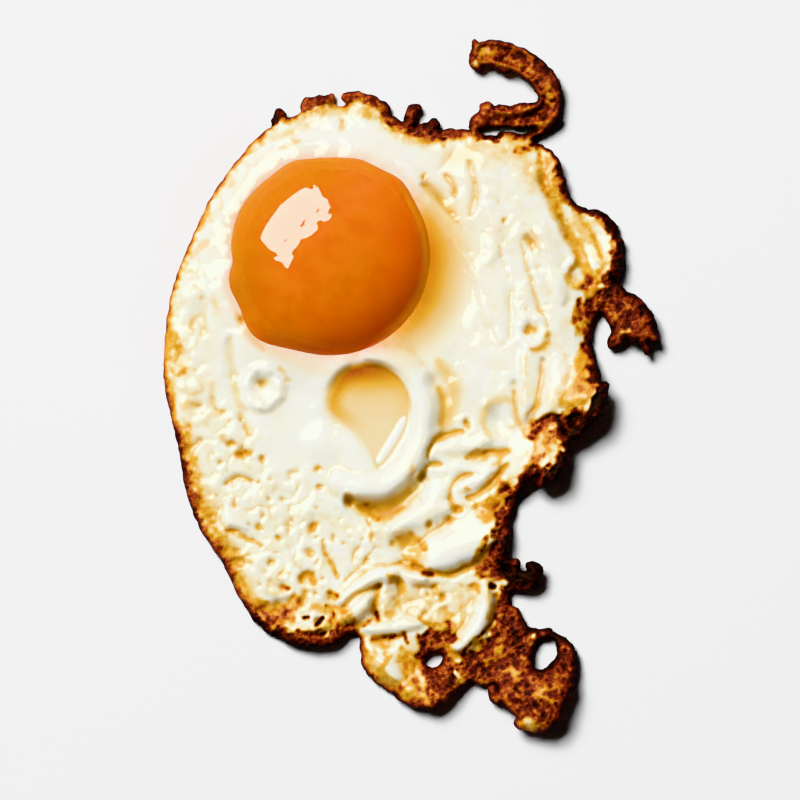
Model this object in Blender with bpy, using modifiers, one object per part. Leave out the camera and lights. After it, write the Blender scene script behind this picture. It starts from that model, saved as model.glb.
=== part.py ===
"""A fried egg, sunny side up, with a crisp browned edge, a curl of crisp white and a runny pool beside the yolk.

Lengths in the lists below are millimetres. X and Y are measured from the middle of the yolk, with +Y away from
the cook, and Z is the height above the plate. The finished egg is moved so that its origin is the middle of the
underside of its bounding box.
"""

import math

import bmesh
import bpy
import numpy as np
from mathutils import Vector, noise

MM = 0.001

# The yolk of a large hen's egg, which sets the scale of everything else.
YOLK_RADIUS = 19.8
YOLK_WIDEST_Z = 6.4
YOLK_RISE = 11.6
YOLK_DROP = 5.0
YOLK_SQUARENESS = 0.92
# The bulges belong to the foot of the yolk and fade out this far up it.
YOLK_BULGE_TOP = 0.75
YOLK_SEGMENTS = 56
YOLK_RINGS = 26
# Where the yolk leans out past its circle: direction in degrees, spread in degrees, reach.
YOLK_BULGES = [(226, 16, 2.2), (197, 10, 1.0), (183, 5, -0.5), (96, 25, -0.3)]
YOLK_GAP = 0.3

# The white.
WHITE_THICKNESS = 3.5
RIM_THICKNESS = 0.9
RIM_WIDTH = 6.0
THINNEST = 0.8
SLAB = 4.0
COLLAR_HEIGHT = 2.8
COLLAR_WIDTH = 5.5
COLLAR_LOW_SIDE = math.radians(-20)
RELIEF_NOISE = 0.35
RELIEF_WAVE = 6.0
CRAG_NOISE = 0.75
CRAG_WAVE = 2.6
EDGE_NOISE = 0.45
EDGE_WAVE = 2.2

# How finely the white is modelled.
VOXEL = 0.62
CURVE_STEPS = 6
WHITE_TRIANGLES = 9600
FLAT_BELOW = 0.06

# The edge of the set white, clockwise from the upper left.
BODY_EDGE = [
    (-12.6, 25.6), (-4.2, 29.2), (3.8, 30.4), (10.8, 28.8), (18.8, 25.6), (26.8, 25.4), (33.8, 23.8), (43.4, 21.6),
    (46.6, 15.8), (48.2, 11.2), (52.8, 8.8), (55.4, 5.4), (56.6, 1.4), (56.2, -3.8), (54.0, -10.0), (52.0, -17.0),
    (53.8, -24.6), (51.4, -29.6), (46.8, -34.0), (46.0, -40.0), (39.6, -44.8), (36.2, -51.6), (35.6, -59.6),
    (35.6, -66.6), (36.6, -74.6), (35.4, -82.0), (31.4, -85.8), (27.4, -85.0), (23.8, -87.8), (20.4, -90.2),
    (15.0, -89.2), (9.6, -85.4), (6.6, -82.4), (5.8, -78.2), (5.2, -75.2), (1.8, -76.6), (-2.2, -78.0),
    (-8.6, -77.2), (-14.2, -73.8), (-18.2, -68.2), (-21.8, -61.0), (-26.2, -54.2), (-29.0, -46.6), (-30.2, -39.6),
    (-32.0, -31.6), (-33.4, -24.2), (-33.0, -14.6), (-31.4, -5.6), (-28.2, 2.8), (-23.8, 12.0), (-18.6, 19.4),
]

# Crisp pieces that run out past the set white. Each is a line of (x, y, half width).
CURL = [
    (29.0, 26.4, 1.5), (31.0, 27.6, 2.0), (34.8, 27.4, 1.7), (38.8, 27.6, 1.9), (42.6, 28.8, 2.5), (43.8, 31.8, 2.4),
    (42.4, 35.2, 2.6), (39.4, 38.0, 2.7), (35.4, 39.6, 2.9), (31.6, 40.5, 2.9), (29.6, 40.4, 3.0), (28.8, 40.2, 2.8),
]
CRISPS = {
    "curl": CURL,
    "curl_knob": [(31.0, 28.6, 1.4), (31.0, 29.6, 1.3)],
    "curl_rim": [(45.4, 27.6, 0.9), (41.8, 25.0, 0.8), (38.4, 23.4, 0.8)],
    "top_left_spike": [(-10.2, 27.0, 1.1), (-10.2, 29.0, 0.6)],
    "top_bump": [(-4.6, 29.6, 1.5), (-1.2, 30.6, 1.4), (0.0, 31.6, 0.7)],
    "top_crest": [(3.6, 31.8, 1.2), (7.0, 31.0, 1.2), (10.2, 29.4, 1.3)],
    "top_horn": [(16.2, 27.6, 1.1), (17.0, 29.2, 0.9)],
    "top_nub": [(19.8, 25.8, 1.1), (20.6, 26.0, 0.9)],
    "upper_shell": [(52.4, 8.4, 1.0), (54.6, 7.2, 1.2), (56.0, 3.6, 1.6)],
    "upper_knob": [(56.6, 1.4, 1.7), (56.4, -2.6, 1.6)],
    "arm": [(54.0, -6.6, 2.6), (57.4, -10.0, 3.6), (59.8, -12.4, 4.3), (62.0, -14.8, 2.9), (64.2, -16.2, 1.2)],
    "arm_knob": [(57.6, -15.6, 1.6), (56.3, -17.2, 1.2)],
    "arm_tail": [(62.2, -16.8, 1.2), (63.0, -18.8, 0.6)],
    "hook": [(34.4, -63.2, 1.5), (37.2, -64.6, 1.8), (40.2, -64.4, 1.7), (41.0, -62.6, 1.1), (40.0, -61.8, 0.8)],
    "hook_tooth": [(36.4, -63.4, 1.2), (37.2, -61.6, 0.9)],
    "lobe": [(35.4, -72.4, 2.8), (36.2, -77.4, 4.4), (37.4, -83.0, 5.8), (40.0, -87.4, 5.4), (41.4, -90.8, 3.6)],
    "lobe_ring": [
        (39.8, -75.8, 1.8), (43.0, -75.6, 1.3), (45.8, -77.0, 1.4), (47.4, -79.6, 1.5), (47.4, -82.6, 1.6),
        (45.8, -85.6, 2.2), (43.6, -88.4, 2.8),
    ],
    "lobe_foot": [(37.8, -93.0, 1.3), (41.2, -92.2, 2.3), (44.0, -90.4, 2.4)],
    "lobe_thumb": [(35.8, -86.6, 2.6), (33.4, -87.6, 2.0)],
}

# Holes burst through the crisp: x, y, half length, half width, direction of the length in degrees.
HOLES = [(42.6, -79.6, 3.0, 1.9, 58), (20.6, -80.6, 1.6, 1.2, 35)]

# Where the browned edge has curled up off the plate: x, y, radius, height.
LIFTS = [
    (22.0, -90.0, 11, 2.4), (43.0, -88.0, 17, 4.2), (53.0, -29.0, 11, 3.4), (44.0, -43.0, 10, 3.8),
    (37.0, -57.0, 9, 2.2), (-3.0, -80.0, 11, 2.0), (50.0, 18.0, 11, 1.8), (58.0, -3.0, 10, 2.0), (63.0, -15.0, 11, 2.2),
    (41.0, -63.0, 7, 2.0), (42.0, 35.0, 13, 1.6), (30.0, 42.0, 9, 1.2),
]

# Raised folds and sunken valleys in the white: a line of points, half width, height.
FOLDS = {
    "pool_ridge": ([(8.2, -20.6), (12.6, -22.8), (16.0, -27.0), (17.2, -32.6), (16.0, -38.6), (13.2, -43.6),
                    (8.8, -46.6), (4.2, -46.2), (1.8, -43.6)], 2.9, 2.3),
    "pool_left_wall": ([(2.8, -21.6), (-0.4, -26.0), (-1.4, -31.0), (-1.0, -36.0)], 3.2, 1.0),
    "ridge_moat": ([(4.2, -49.8), (8.8, -50.8), (14.2, -49.0), (18.2, -43.8)], 2.4, -1.5),
    "gold_valley": ([(21.6, -25.8), (22.6, -29.6), (21.6, -34.0)], 2.8, -1.1),
    "yolk_glow_basin": ([(21.0, 6.0), (23.6, -3.0), (23.0, -12.0), (17.0, -17.5)], 4.6, -1.5),
    "left_valley": ([(-24.2, -8.6), (-22.4, -20.0), (-20.2, -30.0), (-15.8, -37.2)], 2.2, -0.9),
    "left_shelf": ([(-28.6, -16.0), (-28.0, -28.0), (-25.6, -38.0)], 3.0, 0.5),
    "right_mass": ([(29.0, 16.0), (37.6, 6.0), (41.4, -8.0), (40.0, -22.0), (42.4, -33.0)], 8.5, 1.7),
    "top_fold": ([(26.0, 20.6), (27.6, 14.0), (28.8, 7.0)], 1.6, -0.8),
    "right_groove": ([(35.4, 6.0), (39.0, -4.0), (42.2, -10.0)], 1.3, -0.7),
    "rear_bank": ([(46.4, 14.0), (50.4, 4.0), (52.6, -6.0)], 2.6, 0.9),
    "right_valley": ([(42.4, -17.6), (39.8, -23.6), (38.4, -30.6)], 2.6, -1.6),
    "right_shoulder": ([(50.6, -21.6), (48.8, -27.6), (44.4, -32.6)], 3.2, 1.5),
    "arc_step": ([(18.4, -40.0), (20.6, -36.6), (26.4, -34.8)], 1.1, -0.9),
    "long_crease": ([(25.8, -46.8), (31.0, -43.6), (34.6, -39.4)], 1.1, -1.0),
    "upper_pillow": ([(26.0, -50.0), (18.0, -54.2), (9.6, -58.2)], 2.8, 1.4),
    "lower_pillow": ([(31.4, -52.8), (25.4, -57.0), (19.4, -60.4)], 3.8, 2.4),
    "pillow_shadow": ([(19.0, -65.4), (27.0, -64.2), (33.8, -58.2)], 1.7, -1.5),
    "gold_hollow": ([(14.6, -57.8), (17.6, -59.4), (15.8, -61.2)], 2.2, -1.3),
    "finger_fold": ([(-0.4, -70.6), (3.0, -67.4), (7.6, -64.4), (12.8, -62.6), (18.8, -64.8)], 1.9, 1.9),
    "flap_fold": ([(2.2, -73.2), (6.0, -70.4), (9.4, -67.2)], 2.2, 1.4),
    "finger_crease": ([(3.0, -71.0), (8.0, -67.0), (11.0, -66.4), (9.4, -71.4), (7.6, -74.4)], 1.1, -1.3),
    "white_tongue": ([(32.2, -67.0), (30.6, -72.0), (27.4, -76.4), (25.0, -78.4)], 2.6, 1.9),
    "lobe_bar": ([(9.0, -75.6), (15.0, -74.6), (19.6, -73.4)], 2.2, 1.2),
    "lobe_lump": ([(11.0, -81.0), (14.6, -83.6)], 3.4, 1.2),
    "left_bottom_bank": ([(-9.6, -73.6), (-3.0, -73.0), (2.4, -71.6)], 2.2, 0.9),
}

# Dimples and burst bubbles: x, y, radius, depth. A ringed one has a raised lip.
DIMPLES = [(33.0, -32.2, 3.6, 1.7), (21.8, -43.6, 3.2, 1.5), (28.4, -45.4, 2.6, 1.0), (39.6, -14.8, 2.2, 1.0),
           (24.0, 11.4, 2.0, 0.8), (39.0, 2.4, 1.8, 0.8), (-6.0, -68.6, 2.4, 1.4), (-17.0, -39.4, 1.7, 1.2),
           (3.6, -48.8, 1.4, 1.2), (-3.4, -54.4, 1.6, 1.2), (30.0, -65.8, 1.5, 0.9), (-9.2, -65.8, 1.6, 1.0)]
RINGED = [(-13.6, -25.4, 2.6, 1.5), (47.6, -6.0, 2.8, 0.8), (3.6, -43.8, 1.6, 0.3)]
RING_LIP = 1.1

# The runny pool of clear white below the yolk.
POOL = (8.3, -31.6, 8.2, 9.6, 2.7)

# Froth that burst into small pits while the white set: x, y, radius of the patch, number of pits.
FROTH = [(-12.0, -50.0, 14, 26), (-22.0, -34.0, 9, 10), (2.0, -56.0, 9, 10), (18.0, -70.0, 7, 9), (-26.0, -10.0, 8, 7)]
FROTH_PIT = (0.8, 1.5)
FROTH_SEED = 11


def catmull_rom(a, b, c, d, t):
    """The point at t, from 0 to 1, between b and c on a smooth line through a, b, c and d."""
    return 0.5 * (2 * b + (c - a) * t + (2 * a - 5 * b + 4 * c - d) * t**2 + (3 * b - a - 3 * c + d) * t**3)


def smooth_loop(points, steps):
    """A closed smooth line through the points, as an array of steps points for each of them."""
    given = [np.array(p, float) for p in points]
    count = len(given)
    return np.array([
        catmull_rom(given[i - 1], given[i], given[(i + 1) % count], given[(i + 2) % count], k / steps)
        for i in range(count) for k in range(steps)
    ])


def frayed(loop):
    """The loop with the small uneven teeth of a crisp edge."""
    ahead = np.roll(loop, -1, axis=0) - np.roll(loop, 1, axis=0)
    outwards = np.stack([-ahead[:, 1], ahead[:, 0]], axis=1)
    outwards /= np.linalg.norm(outwards, axis=1)[:, None]
    teeth = np.array([noise.noise(Vector((x / EDGE_WAVE, y / EDGE_WAVE, 0))) for x, y in loop])
    return loop + outwards * (EDGE_NOISE * teeth)[:, None]


def distance_to_line(places, line):
    """How far each place is from an open line of (x, y, half width), less the half width there."""
    nearest = np.full(len(places), np.inf)
    for start, end in zip(line[:-1], line[1:]):
        a, b = np.array(start[:2]), np.array(end[:2])
        along = np.clip((places - a) @ (b - a) / ((b - a) @ (b - a)), 0, 1)
        gap = np.linalg.norm(places - (a + along[:, None] * (b - a)), axis=1)
        nearest = np.minimum(nearest, gap - (start[2] + along * (end[2] - start[2])))
    return nearest


def distance_to_loop(places, loop):
    """How far each place is outside a closed loop, negative inside."""
    nearest = np.full(len(places), np.inf)
    inside = np.zeros(len(places), bool)
    for a, b in zip(loop, np.roll(loop, -1, axis=0)):
        along = np.clip((places - a) @ (b - a) / ((b - a) @ (b - a)), 0, 1)
        nearest = np.minimum(nearest, np.linalg.norm(places - (a + along[:, None] * (b - a)), axis=1))
        crosses = (a[1] > places[:, 1]) != (b[1] > places[:, 1])
        if a[1] != b[1]:
            at = a[0] + (places[:, 1] - a[1]) * (b[0] - a[0]) / (b[1] - a[1])
            inside ^= crosses & (places[:, 0] < at)
    return np.where(inside, -nearest, nearest)


def depth_inside(places):
    """How far each place is inside the egg's whole outline, crisp pieces and holes included."""
    outside = distance_to_loop(places, smooth_loop(BODY_EDGE, CURVE_STEPS))
    for line in CRISPS.values():
        outside = np.minimum(outside, distance_to_line(places, line))
    for x, y, length, width, turn in HOLES:
        outside = np.maximum(outside, -distance_to_hole(places, x, y, length, width, turn))
    return np.maximum(-outside, 0)


def distance_to_hole(places, x, y, length, width, turn):
    """Roughly how far each place is from the rim of an oval hole, negative inside it."""
    c, s = math.cos(math.radians(turn)), math.sin(math.radians(turn))
    u = ((places[:, 0] - x) * c + (places[:, 1] - y) * s) / length
    v = ((places[:, 1] - y) * c - (places[:, 0] - x) * s) / width
    return (np.hypot(u, v) - 1) * min(length, width)


def bump(distance, radius):
    """A smooth hill of height 1 that ends exactly at its radius."""
    return np.clip(1 - (distance / radius) ** 2, 0, 1) ** 2


def yolk_reach(angle, bulge=1.0):
    """The yolk's radius in each direction, in radians, with its bulges at a share of their reach."""
    turn = np.degrees(angle) % 360
    reach = np.full(np.shape(angle), YOLK_RADIUS, float)
    for direction, spread, out in YOLK_BULGES:
        off = (turn - direction + 180) % 360 - 180
        reach += bulge * out * np.exp(-((off / spread) ** 2))
    return reach


def ripples(places, wave, height, seed):
    """Smooth noise over the places, from about -height to height."""
    return height * np.array([noise.noise(Vector((x / wave, y / wave, seed))) for x, y in places])


def lift(places):
    """How far the underside has risen off the plate. It is exactly 0 under most of the egg."""
    rise = np.zeros(len(places))
    for x, y, radius, height in LIFTS:
        rise += height * bump(np.hypot(places[:, 0] - x, places[:, 1] - y), radius)
    return rise


def crispness(places, depth):
    """How much of each place is browned crag, from 0 in the white to 1 in the crust."""
    crust = np.full(len(places), np.inf)
    for line in CRISPS.values():
        crust = np.minimum(crust, distance_to_line(places, line))
    right = np.clip((places[:, 0] - 22) / 14, 0, 1)
    return np.clip(np.maximum(1 - crust / 2.0, right * (1 - depth / 4.0)), 0, 1)


def froth_pits():
    """The pits of each froth patch, drawn once from a fixed seed: x, y, radius, depth."""
    draw = np.random.default_rng(FROTH_SEED)
    pits = []
    for x, y, radius, count in FROTH:
        for _ in range(count):
            away, turn = radius * math.sqrt(draw.random()), draw.random() * math.tau
            size = draw.uniform(*FROTH_PIT)
            pits.append((x + away * math.cos(turn), y + away * math.sin(turn), size, 0.7 * size))
    return pits


def relief(places):
    """The folds, dimples, pool and froth of the white, as a height to add to its thickness."""
    height = np.zeros(len(places))
    for line, half_width, rise in FOLDS.values():
        away = distance_to_line(places, [(x, y, 0) for x, y in line])
        height += rise * bump(away, 1.5 * half_width)
    for x, y, radius, depth in DIMPLES + froth_pits():
        height -= depth * bump(np.hypot(places[:, 0] - x, places[:, 1] - y), radius)
    for x, y, radius, depth in RINGED:
        away = np.hypot(places[:, 0] - x, places[:, 1] - y)
        height += RING_LIP * bump(away - radius, radius) - depth * bump(away, 0.8 * radius)
    x, y, half_x, half_y, depth = POOL
    height -= depth * bump(np.hypot((places[:, 0] - x) / half_x, (places[:, 1] - y) / half_y), 1.15)
    return height


def white_surfaces(places):
    """The heights of the white's underside and top at each place."""
    depth = depth_inside(places)
    crisp = crispness(places, depth)
    away = np.hypot(places[:, 0], places[:, 1])
    angle = np.arctan2(places[:, 1], places[:, 0])
    past_yolk = away - yolk_reach(angle)
    leeward = 0.5 + 0.5 * np.cos(angle - COLLAR_LOW_SIDE)
    collar = COLLAR_HEIGHT * (1 - 0.6 * leeward) * bump(np.maximum(past_yolk, 0), COLLAR_WIDTH * 1.6)
    rim = np.sqrt(np.clip(1 - (1 - np.clip(depth / RIM_WIDTH, 0, 1)) ** 2, 0, 1))
    full = WHITE_THICKNESS + collar + relief(places) + ripples(places, RELIEF_WAVE, RELIEF_NOISE, 3.1)
    crags = crisp * (np.abs(ripples(places, CRAG_WAVE, 2 * CRAG_NOISE, 7.7)) - 0.3 * CRAG_NOISE)
    thickness = RIM_THICKNESS + rim * (full - RIM_THICKNESS) * (1 - 0.35 * crisp) + crags
    bottom = lift(places)
    return bottom, bottom + np.maximum(thickness, THINNEST)


def new_object(name, mesh, collection):
    piece = bpy.data.objects.new(name, mesh)
    collection.objects.link(piece)
    return piece


def slab_of_loop(loop, collection):
    """A flat plate with the loop's outline, between heights 0 and SLAB."""
    curve = bpy.data.curves.new("edge", "CURVE")
    curve.dimensions = "2D"
    curve.fill_mode = "BOTH"
    curve.extrude = SLAB * MM / 2
    spline = curve.splines.new("POLY")
    spline.points.add(len(loop) - 1)
    spline.use_cyclic_u = True
    for point, (x, y) in zip(spline.points, loop):
        point.co = (x * MM, y * MM, 0, 1)
    piece = new_object("edge", curve, collection)
    piece.location.z = SLAB * MM / 2
    return piece


def tube_of_line(line, collection):
    """A round bar along the line, as wide as the line says, through the middle of the slab."""
    curve = bpy.data.curves.new("crisp", "CURVE")
    curve.dimensions = "3D"
    curve.bevel_depth = 1
    curve.bevel_resolution = 3
    curve.use_fill_caps = True
    spline = curve.splines.new("NURBS")
    spline.points.add(len(line) - 1)
    spline.use_endpoint_u = True
    spline.order_u = 3
    for point, (x, y, half_width) in zip(spline.points, line):
        point.co = (x * MM, y * MM, 0, 1)
        point.radius = half_width * MM
    piece = new_object("crisp", curve, collection)
    piece.location.z = SLAB * MM / 2
    return piece


def joined_mesh(pieces):
    """One mesh of several curve objects, with each one's caps welded, and the curves removed."""
    bpy.context.view_layer.update()
    graph = bpy.context.evaluated_depsgraph_get()
    whole = bmesh.new()
    for piece in pieces:
        mesh = bpy.data.meshes.new_from_object(piece.evaluated_get(graph))
        mesh.transform(piece.matrix_world)
        whole.from_mesh(mesh)
        bpy.data.meshes.remove(mesh)
    bmesh.ops.remove_doubles(whole, verts=whole.verts, dist=0.01 * MM)
    for vertex in whole.verts:
        vertex.co.z = min(max(vertex.co.z, 0), SLAB * MM)
    mesh = bpy.data.meshes.new("joined")
    whole.to_mesh(mesh)
    whole.free()
    for piece in pieces:
        bpy.data.objects.remove(piece)
    return mesh


def evaluated_copy(piece):
    """The piece's mesh with its modifiers applied."""
    bpy.context.view_layer.update()
    graph = bpy.context.evaluated_depsgraph_get()
    return bpy.data.meshes.new_from_object(piece.evaluated_get(graph))


def remeshed(piece):
    """Replaces the piece's mesh by an even one, which also joins shells that overlap."""
    modifier = piece.modifiers.new("even", "REMESH")
    modifier.mode = "VOXEL"
    modifier.voxel_size = VOXEL * MM
    modifier.adaptivity = 0
    piece.data = evaluated_copy(piece)
    piece.modifiers.clear()


def moved_vertices(mesh, move):
    """Passes the vertices, in millimetres, through move, which returns their new places."""
    flat = np.empty(len(mesh.vertices) * 3, np.float32)
    mesh.vertices.foreach_get("co", flat)
    places = move(flat.reshape(-1, 3).astype(float) / MM)
    mesh.vertices.foreach_set("co", (places * MM).astype(np.float32).ravel())
    mesh.update()


def sculpted(places):
    """Moves the slab's flat faces to the white's underside and top."""
    share = np.clip(places[:, 2] / SLAB, 0, 1)
    bottom, top = white_surfaces(places[:, :2])
    return np.column_stack([places[:, :2], bottom + share * (top - bottom)])


def flattened(places):
    """Sets what is nearly on the plate exactly on it, so that the egg rests on one flat face."""
    places[:, 2] = np.where(places[:, 2] < FLAT_BELOW, 0, places[:, 2])
    return places


def punch_holes(piece, collection):
    """Cuts the oval holes through the slab."""
    for x, y, length, width, turn in HOLES:
        bpy.ops.mesh.primitive_cylinder_add(vertices=20, radius=MM, depth=3 * SLAB * MM)
        punch = bpy.context.object
        punch.scale = (length, width, 1)
        punch.location = (x * MM, y * MM, SLAB * MM / 2)
        punch.rotation_euler.z = math.radians(turn)
        cut = piece.modifiers.new("hole", "BOOLEAN")
        cut.operation = "DIFFERENCE"
        cut.object = punch
        piece.data = evaluated_copy(piece)
        piece.modifiers.clear()
        bpy.data.objects.remove(punch)


def make_white(collection):
    """The set white with its browned edge, as one piece."""
    outline = frayed(smooth_loop(BODY_EDGE, CURVE_STEPS))
    pieces = [slab_of_loop(outline, collection)]
    pieces += [tube_of_line(line, collection) for line in CRISPS.values()]
    white = new_object("egg_white", joined_mesh(pieces), collection)
    remeshed(white)
    punch_holes(white, collection)
    moved_vertices(white.data, sculpted)
    remeshed(white)
    thin = white.modifiers.new("fewer_faces", "DECIMATE")
    white.data.calc_loop_triangles()
    thin.ratio = WHITE_TRIANGLES / len(white.data.loop_triangles)
    white.data = evaluated_copy(white)
    white.modifiers.clear()
    moved_vertices(white.data, flattened)
    return white


def yolk_mesh(grow):
    """The yolk's flattened ball, every wall moved out by grow."""
    ball = bmesh.new()
    bmesh.ops.create_uvsphere(ball, u_segments=YOLK_SEGMENTS, v_segments=YOLK_RINGS, radius=1)
    for vertex in ball.verts:
        x, y, z = vertex.co
        around, angle = math.hypot(x, y), math.atan2(y, x)
        # The lower side, which lies in the white, spreads less than the part that shows.
        settle = 1 if z > 0 else 1 + 0.04 * z
        bulge = max(1 - max(z, 0) / YOLK_BULGE_TOP, 0) ** 1.5
        radius = float(yolk_reach(np.array(angle), bulge)) * settle + grow
        height = (YOLK_RISE if z > 0 else YOLK_DROP) + grow
        vertex.co.x = radius * around**YOLK_SQUARENESS * math.cos(angle) * MM
        vertex.co.y = radius * around**YOLK_SQUARENESS * math.sin(angle) * MM
        vertex.co.z = (YOLK_WIDEST_Z + height * math.copysign(abs(z) ** YOLK_SQUARENESS, z)) * MM
    mesh = bpy.data.meshes.new("yolk")
    ball.to_mesh(mesh)
    ball.free()
    mesh.shade_smooth()
    return mesh


def make_yolk(white, pieces, cutters):
    """The yolk, and the socket that it sits in."""
    yolk = new_object("egg_yolk", yolk_mesh(0), pieces)
    socket = new_object("yolk_socket", yolk_mesh(YOLK_GAP), cutters)
    socket.hide_render = True
    socket.display_type = "WIRE"
    cut = white.modifiers.new("socket", "BOOLEAN")
    cut.operation = "DIFFERENCE"
    cut.object = socket
    return yolk, socket


def finish_of(piece, name, colour, roughness):
    """Gives the piece a plain glossy material of one colour."""
    material = bpy.data.materials.new(name)
    material.use_nodes = True
    shader = material.node_tree.nodes["Principled BSDF"]
    shader.inputs["Base Color"].default_value = (*colour, 1)
    shader.inputs["Roughness"].default_value = roughness
    shader.inputs["Metallic"].default_value = 0
    piece.data.materials.clear()
    piece.data.materials.append(material)


def centre_on_base(pieces, parent):
    """Moves the parent so that the origin is the middle of the underside of the pieces' box."""
    bpy.context.view_layer.update()
    graph = bpy.context.evaluated_depsgraph_get()
    corners = [
        piece.matrix_world @ vertex.co
        for piece in pieces for vertex in piece.evaluated_get(graph).data.vertices
    ]
    for axis in range(2):
        values = [corner[axis] for corner in corners]
        parent.location[axis] -= (min(values) + max(values)) / 2
    bpy.context.view_layer.update()


def main():
    for old in list(bpy.data.objects):
        bpy.data.objects.remove(old)
    pieces = bpy.data.collections.new("fried_egg")
    cutters = bpy.data.collections.new("cutters")
    bpy.context.scene.collection.children.link(pieces)
    bpy.context.scene.collection.children.link(cutters)
    white = make_white(pieces)
    yolk, socket = make_yolk(white, pieces, cutters)
    finish_of(white, "set_white", (0.90, 0.86, 0.74), 0.3)
    finish_of(yolk, "runny_yolk", (0.84, 0.30, 0.01), 0.12)
    egg = new_object("egg", None, pieces)
    for piece in (white, yolk, socket):
        piece.parent = egg
    centre_on_base([white, yolk], egg)


main()
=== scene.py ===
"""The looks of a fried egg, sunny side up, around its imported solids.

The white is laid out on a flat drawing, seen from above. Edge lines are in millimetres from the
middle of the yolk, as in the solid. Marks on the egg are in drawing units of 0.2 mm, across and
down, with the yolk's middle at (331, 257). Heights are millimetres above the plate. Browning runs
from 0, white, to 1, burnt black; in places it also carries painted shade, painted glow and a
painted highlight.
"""

import math

import bpy
import numpy as np
from mathutils import Matrix, Vector
from mathutils.geometry import delaunay_2d_cdt

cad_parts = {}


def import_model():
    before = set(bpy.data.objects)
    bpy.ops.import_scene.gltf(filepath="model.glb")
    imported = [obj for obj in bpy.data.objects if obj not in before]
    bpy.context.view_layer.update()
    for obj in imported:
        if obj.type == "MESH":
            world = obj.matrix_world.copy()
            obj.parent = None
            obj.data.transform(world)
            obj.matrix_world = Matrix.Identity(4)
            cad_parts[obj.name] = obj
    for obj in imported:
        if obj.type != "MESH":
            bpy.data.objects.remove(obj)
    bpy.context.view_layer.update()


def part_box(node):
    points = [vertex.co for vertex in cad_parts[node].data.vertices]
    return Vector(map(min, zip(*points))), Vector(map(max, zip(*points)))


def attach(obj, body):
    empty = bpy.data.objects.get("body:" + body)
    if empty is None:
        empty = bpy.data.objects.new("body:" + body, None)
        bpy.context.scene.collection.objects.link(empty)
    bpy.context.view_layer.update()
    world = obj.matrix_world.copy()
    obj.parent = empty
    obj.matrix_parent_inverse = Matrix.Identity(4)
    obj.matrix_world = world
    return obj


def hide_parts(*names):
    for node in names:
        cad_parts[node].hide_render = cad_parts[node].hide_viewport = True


MM = 0.001
UNIT = 0.2
YOLK_AT = (331, 257)

# The yolk, as the solid has it.
YOLK_RADIUS = 19.8
YOLK_WIDEST_Z = 6.4
YOLK_RISE = 11.6
YOLK_DROP = 5.0
YOLK_SQUARENESS = 0.92
YOLK_BULGE_TOP = 0.75
YOLK_BULGES = [(226, 16, 2.2), (197, 10, 1.0), (183, 5, -0.5), (96, 25, -0.3)]
YOLK_CORNERS = [(112, 9, 0.6), (72, 8, 0.35), (47, 10, 0.75), (155, 14, 0.3)]
YOLK_SEGMENTS = 320
YOLK_RINGS = 160
YOLK_WAVINESS = 0.05
# Which way its painted shade, a deeper orange on the side away from the light, and its clear
# film along the edge face.
YOLK_PAINTED_SHADE_SIDE = math.radians(-35)
YOLK_FILM_SIDE = math.radians(-8)
# Where its skin is dented: a line of marks, reach, depth.
SKIN_DENTS = [
    ([(284, 256), (298, 242), (312, 226), (330, 210)], 11, 0.17), ([(328, 214), (338, 208)], 6, 0.1),
    ([(292, 188), (306, 184), (318, 192)], 10, 0.12), ([(258, 228), (264, 214), (276, 206)], 8, 0.05),
]

# The drawing grid, in millimetres.
GRID = 0.33
GRID_X = (-36.0, 67.5)
GRID_Y = (-97.5, 46.0)
# The underside has one point for so many grid squares each way, and starts so far in from the rim.
UNDERSIDE_GRID = 3
UNDERSIDE_INSET = 1.1
# How far under the top's rim the underside's rim is set in.
RIM_TUCK = 0.16

# The white's general shape.
WHITE_THICKNESS = 3.4
RIM_THICKNESS = 0.5
LEAST_THICKNESS = 0.45
COLLAR_HEIGHT = 2.7
COLLAR_WIDTH = 5.5
COLLAR_LOW_SIDE = math.radians(-20)

# The edge of the set white, clockwise from the upper left, in millimetres.
BODY_EDGE = [
    (-12.6, 25.6), (-4.2, 29.2), (3.8, 30.4), (10.8, 28.8), (18.8, 25.6), (26.8, 25.4), (33.8, 23.8),
    (43.4, 21.6), (46.6, 15.8), (48.2, 11.2), (52.8, 8.8), (55.4, 5.4), (56.6, 1.4), (56.2, -3.8),
    (54.0, -10.0), (52.0, -17.0), (53.8, -24.6), (51.4, -29.6), (46.8, -34.0), (46.0, -40.0),
    (39.6, -44.8), (36.2, -51.6), (35.6, -59.6), (35.6, -66.6), (36.6, -74.6), (35.4, -82.0),
    (31.4, -85.8), (27.4, -85.0), (23.8, -87.8), (20.4, -90.2), (15.0, -89.2), (9.6, -85.4),
    (6.6, -82.4), (5.8, -78.2), (5.2, -75.2), (1.8, -76.6), (-2.2, -78.0), (-8.6, -77.2),
    (-14.2, -73.8), (-18.2, -68.2), (-21.8, -61.0), (-26.2, -54.2), (-29.0, -46.6), (-30.2, -39.6),
    (-32.0, -31.6), (-33.4, -24.2), (-33.0, -14.6), (-31.4, -5.6), (-28.2, 2.8), (-23.8, 12.0),
    (-18.6, 19.4),
]

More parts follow.
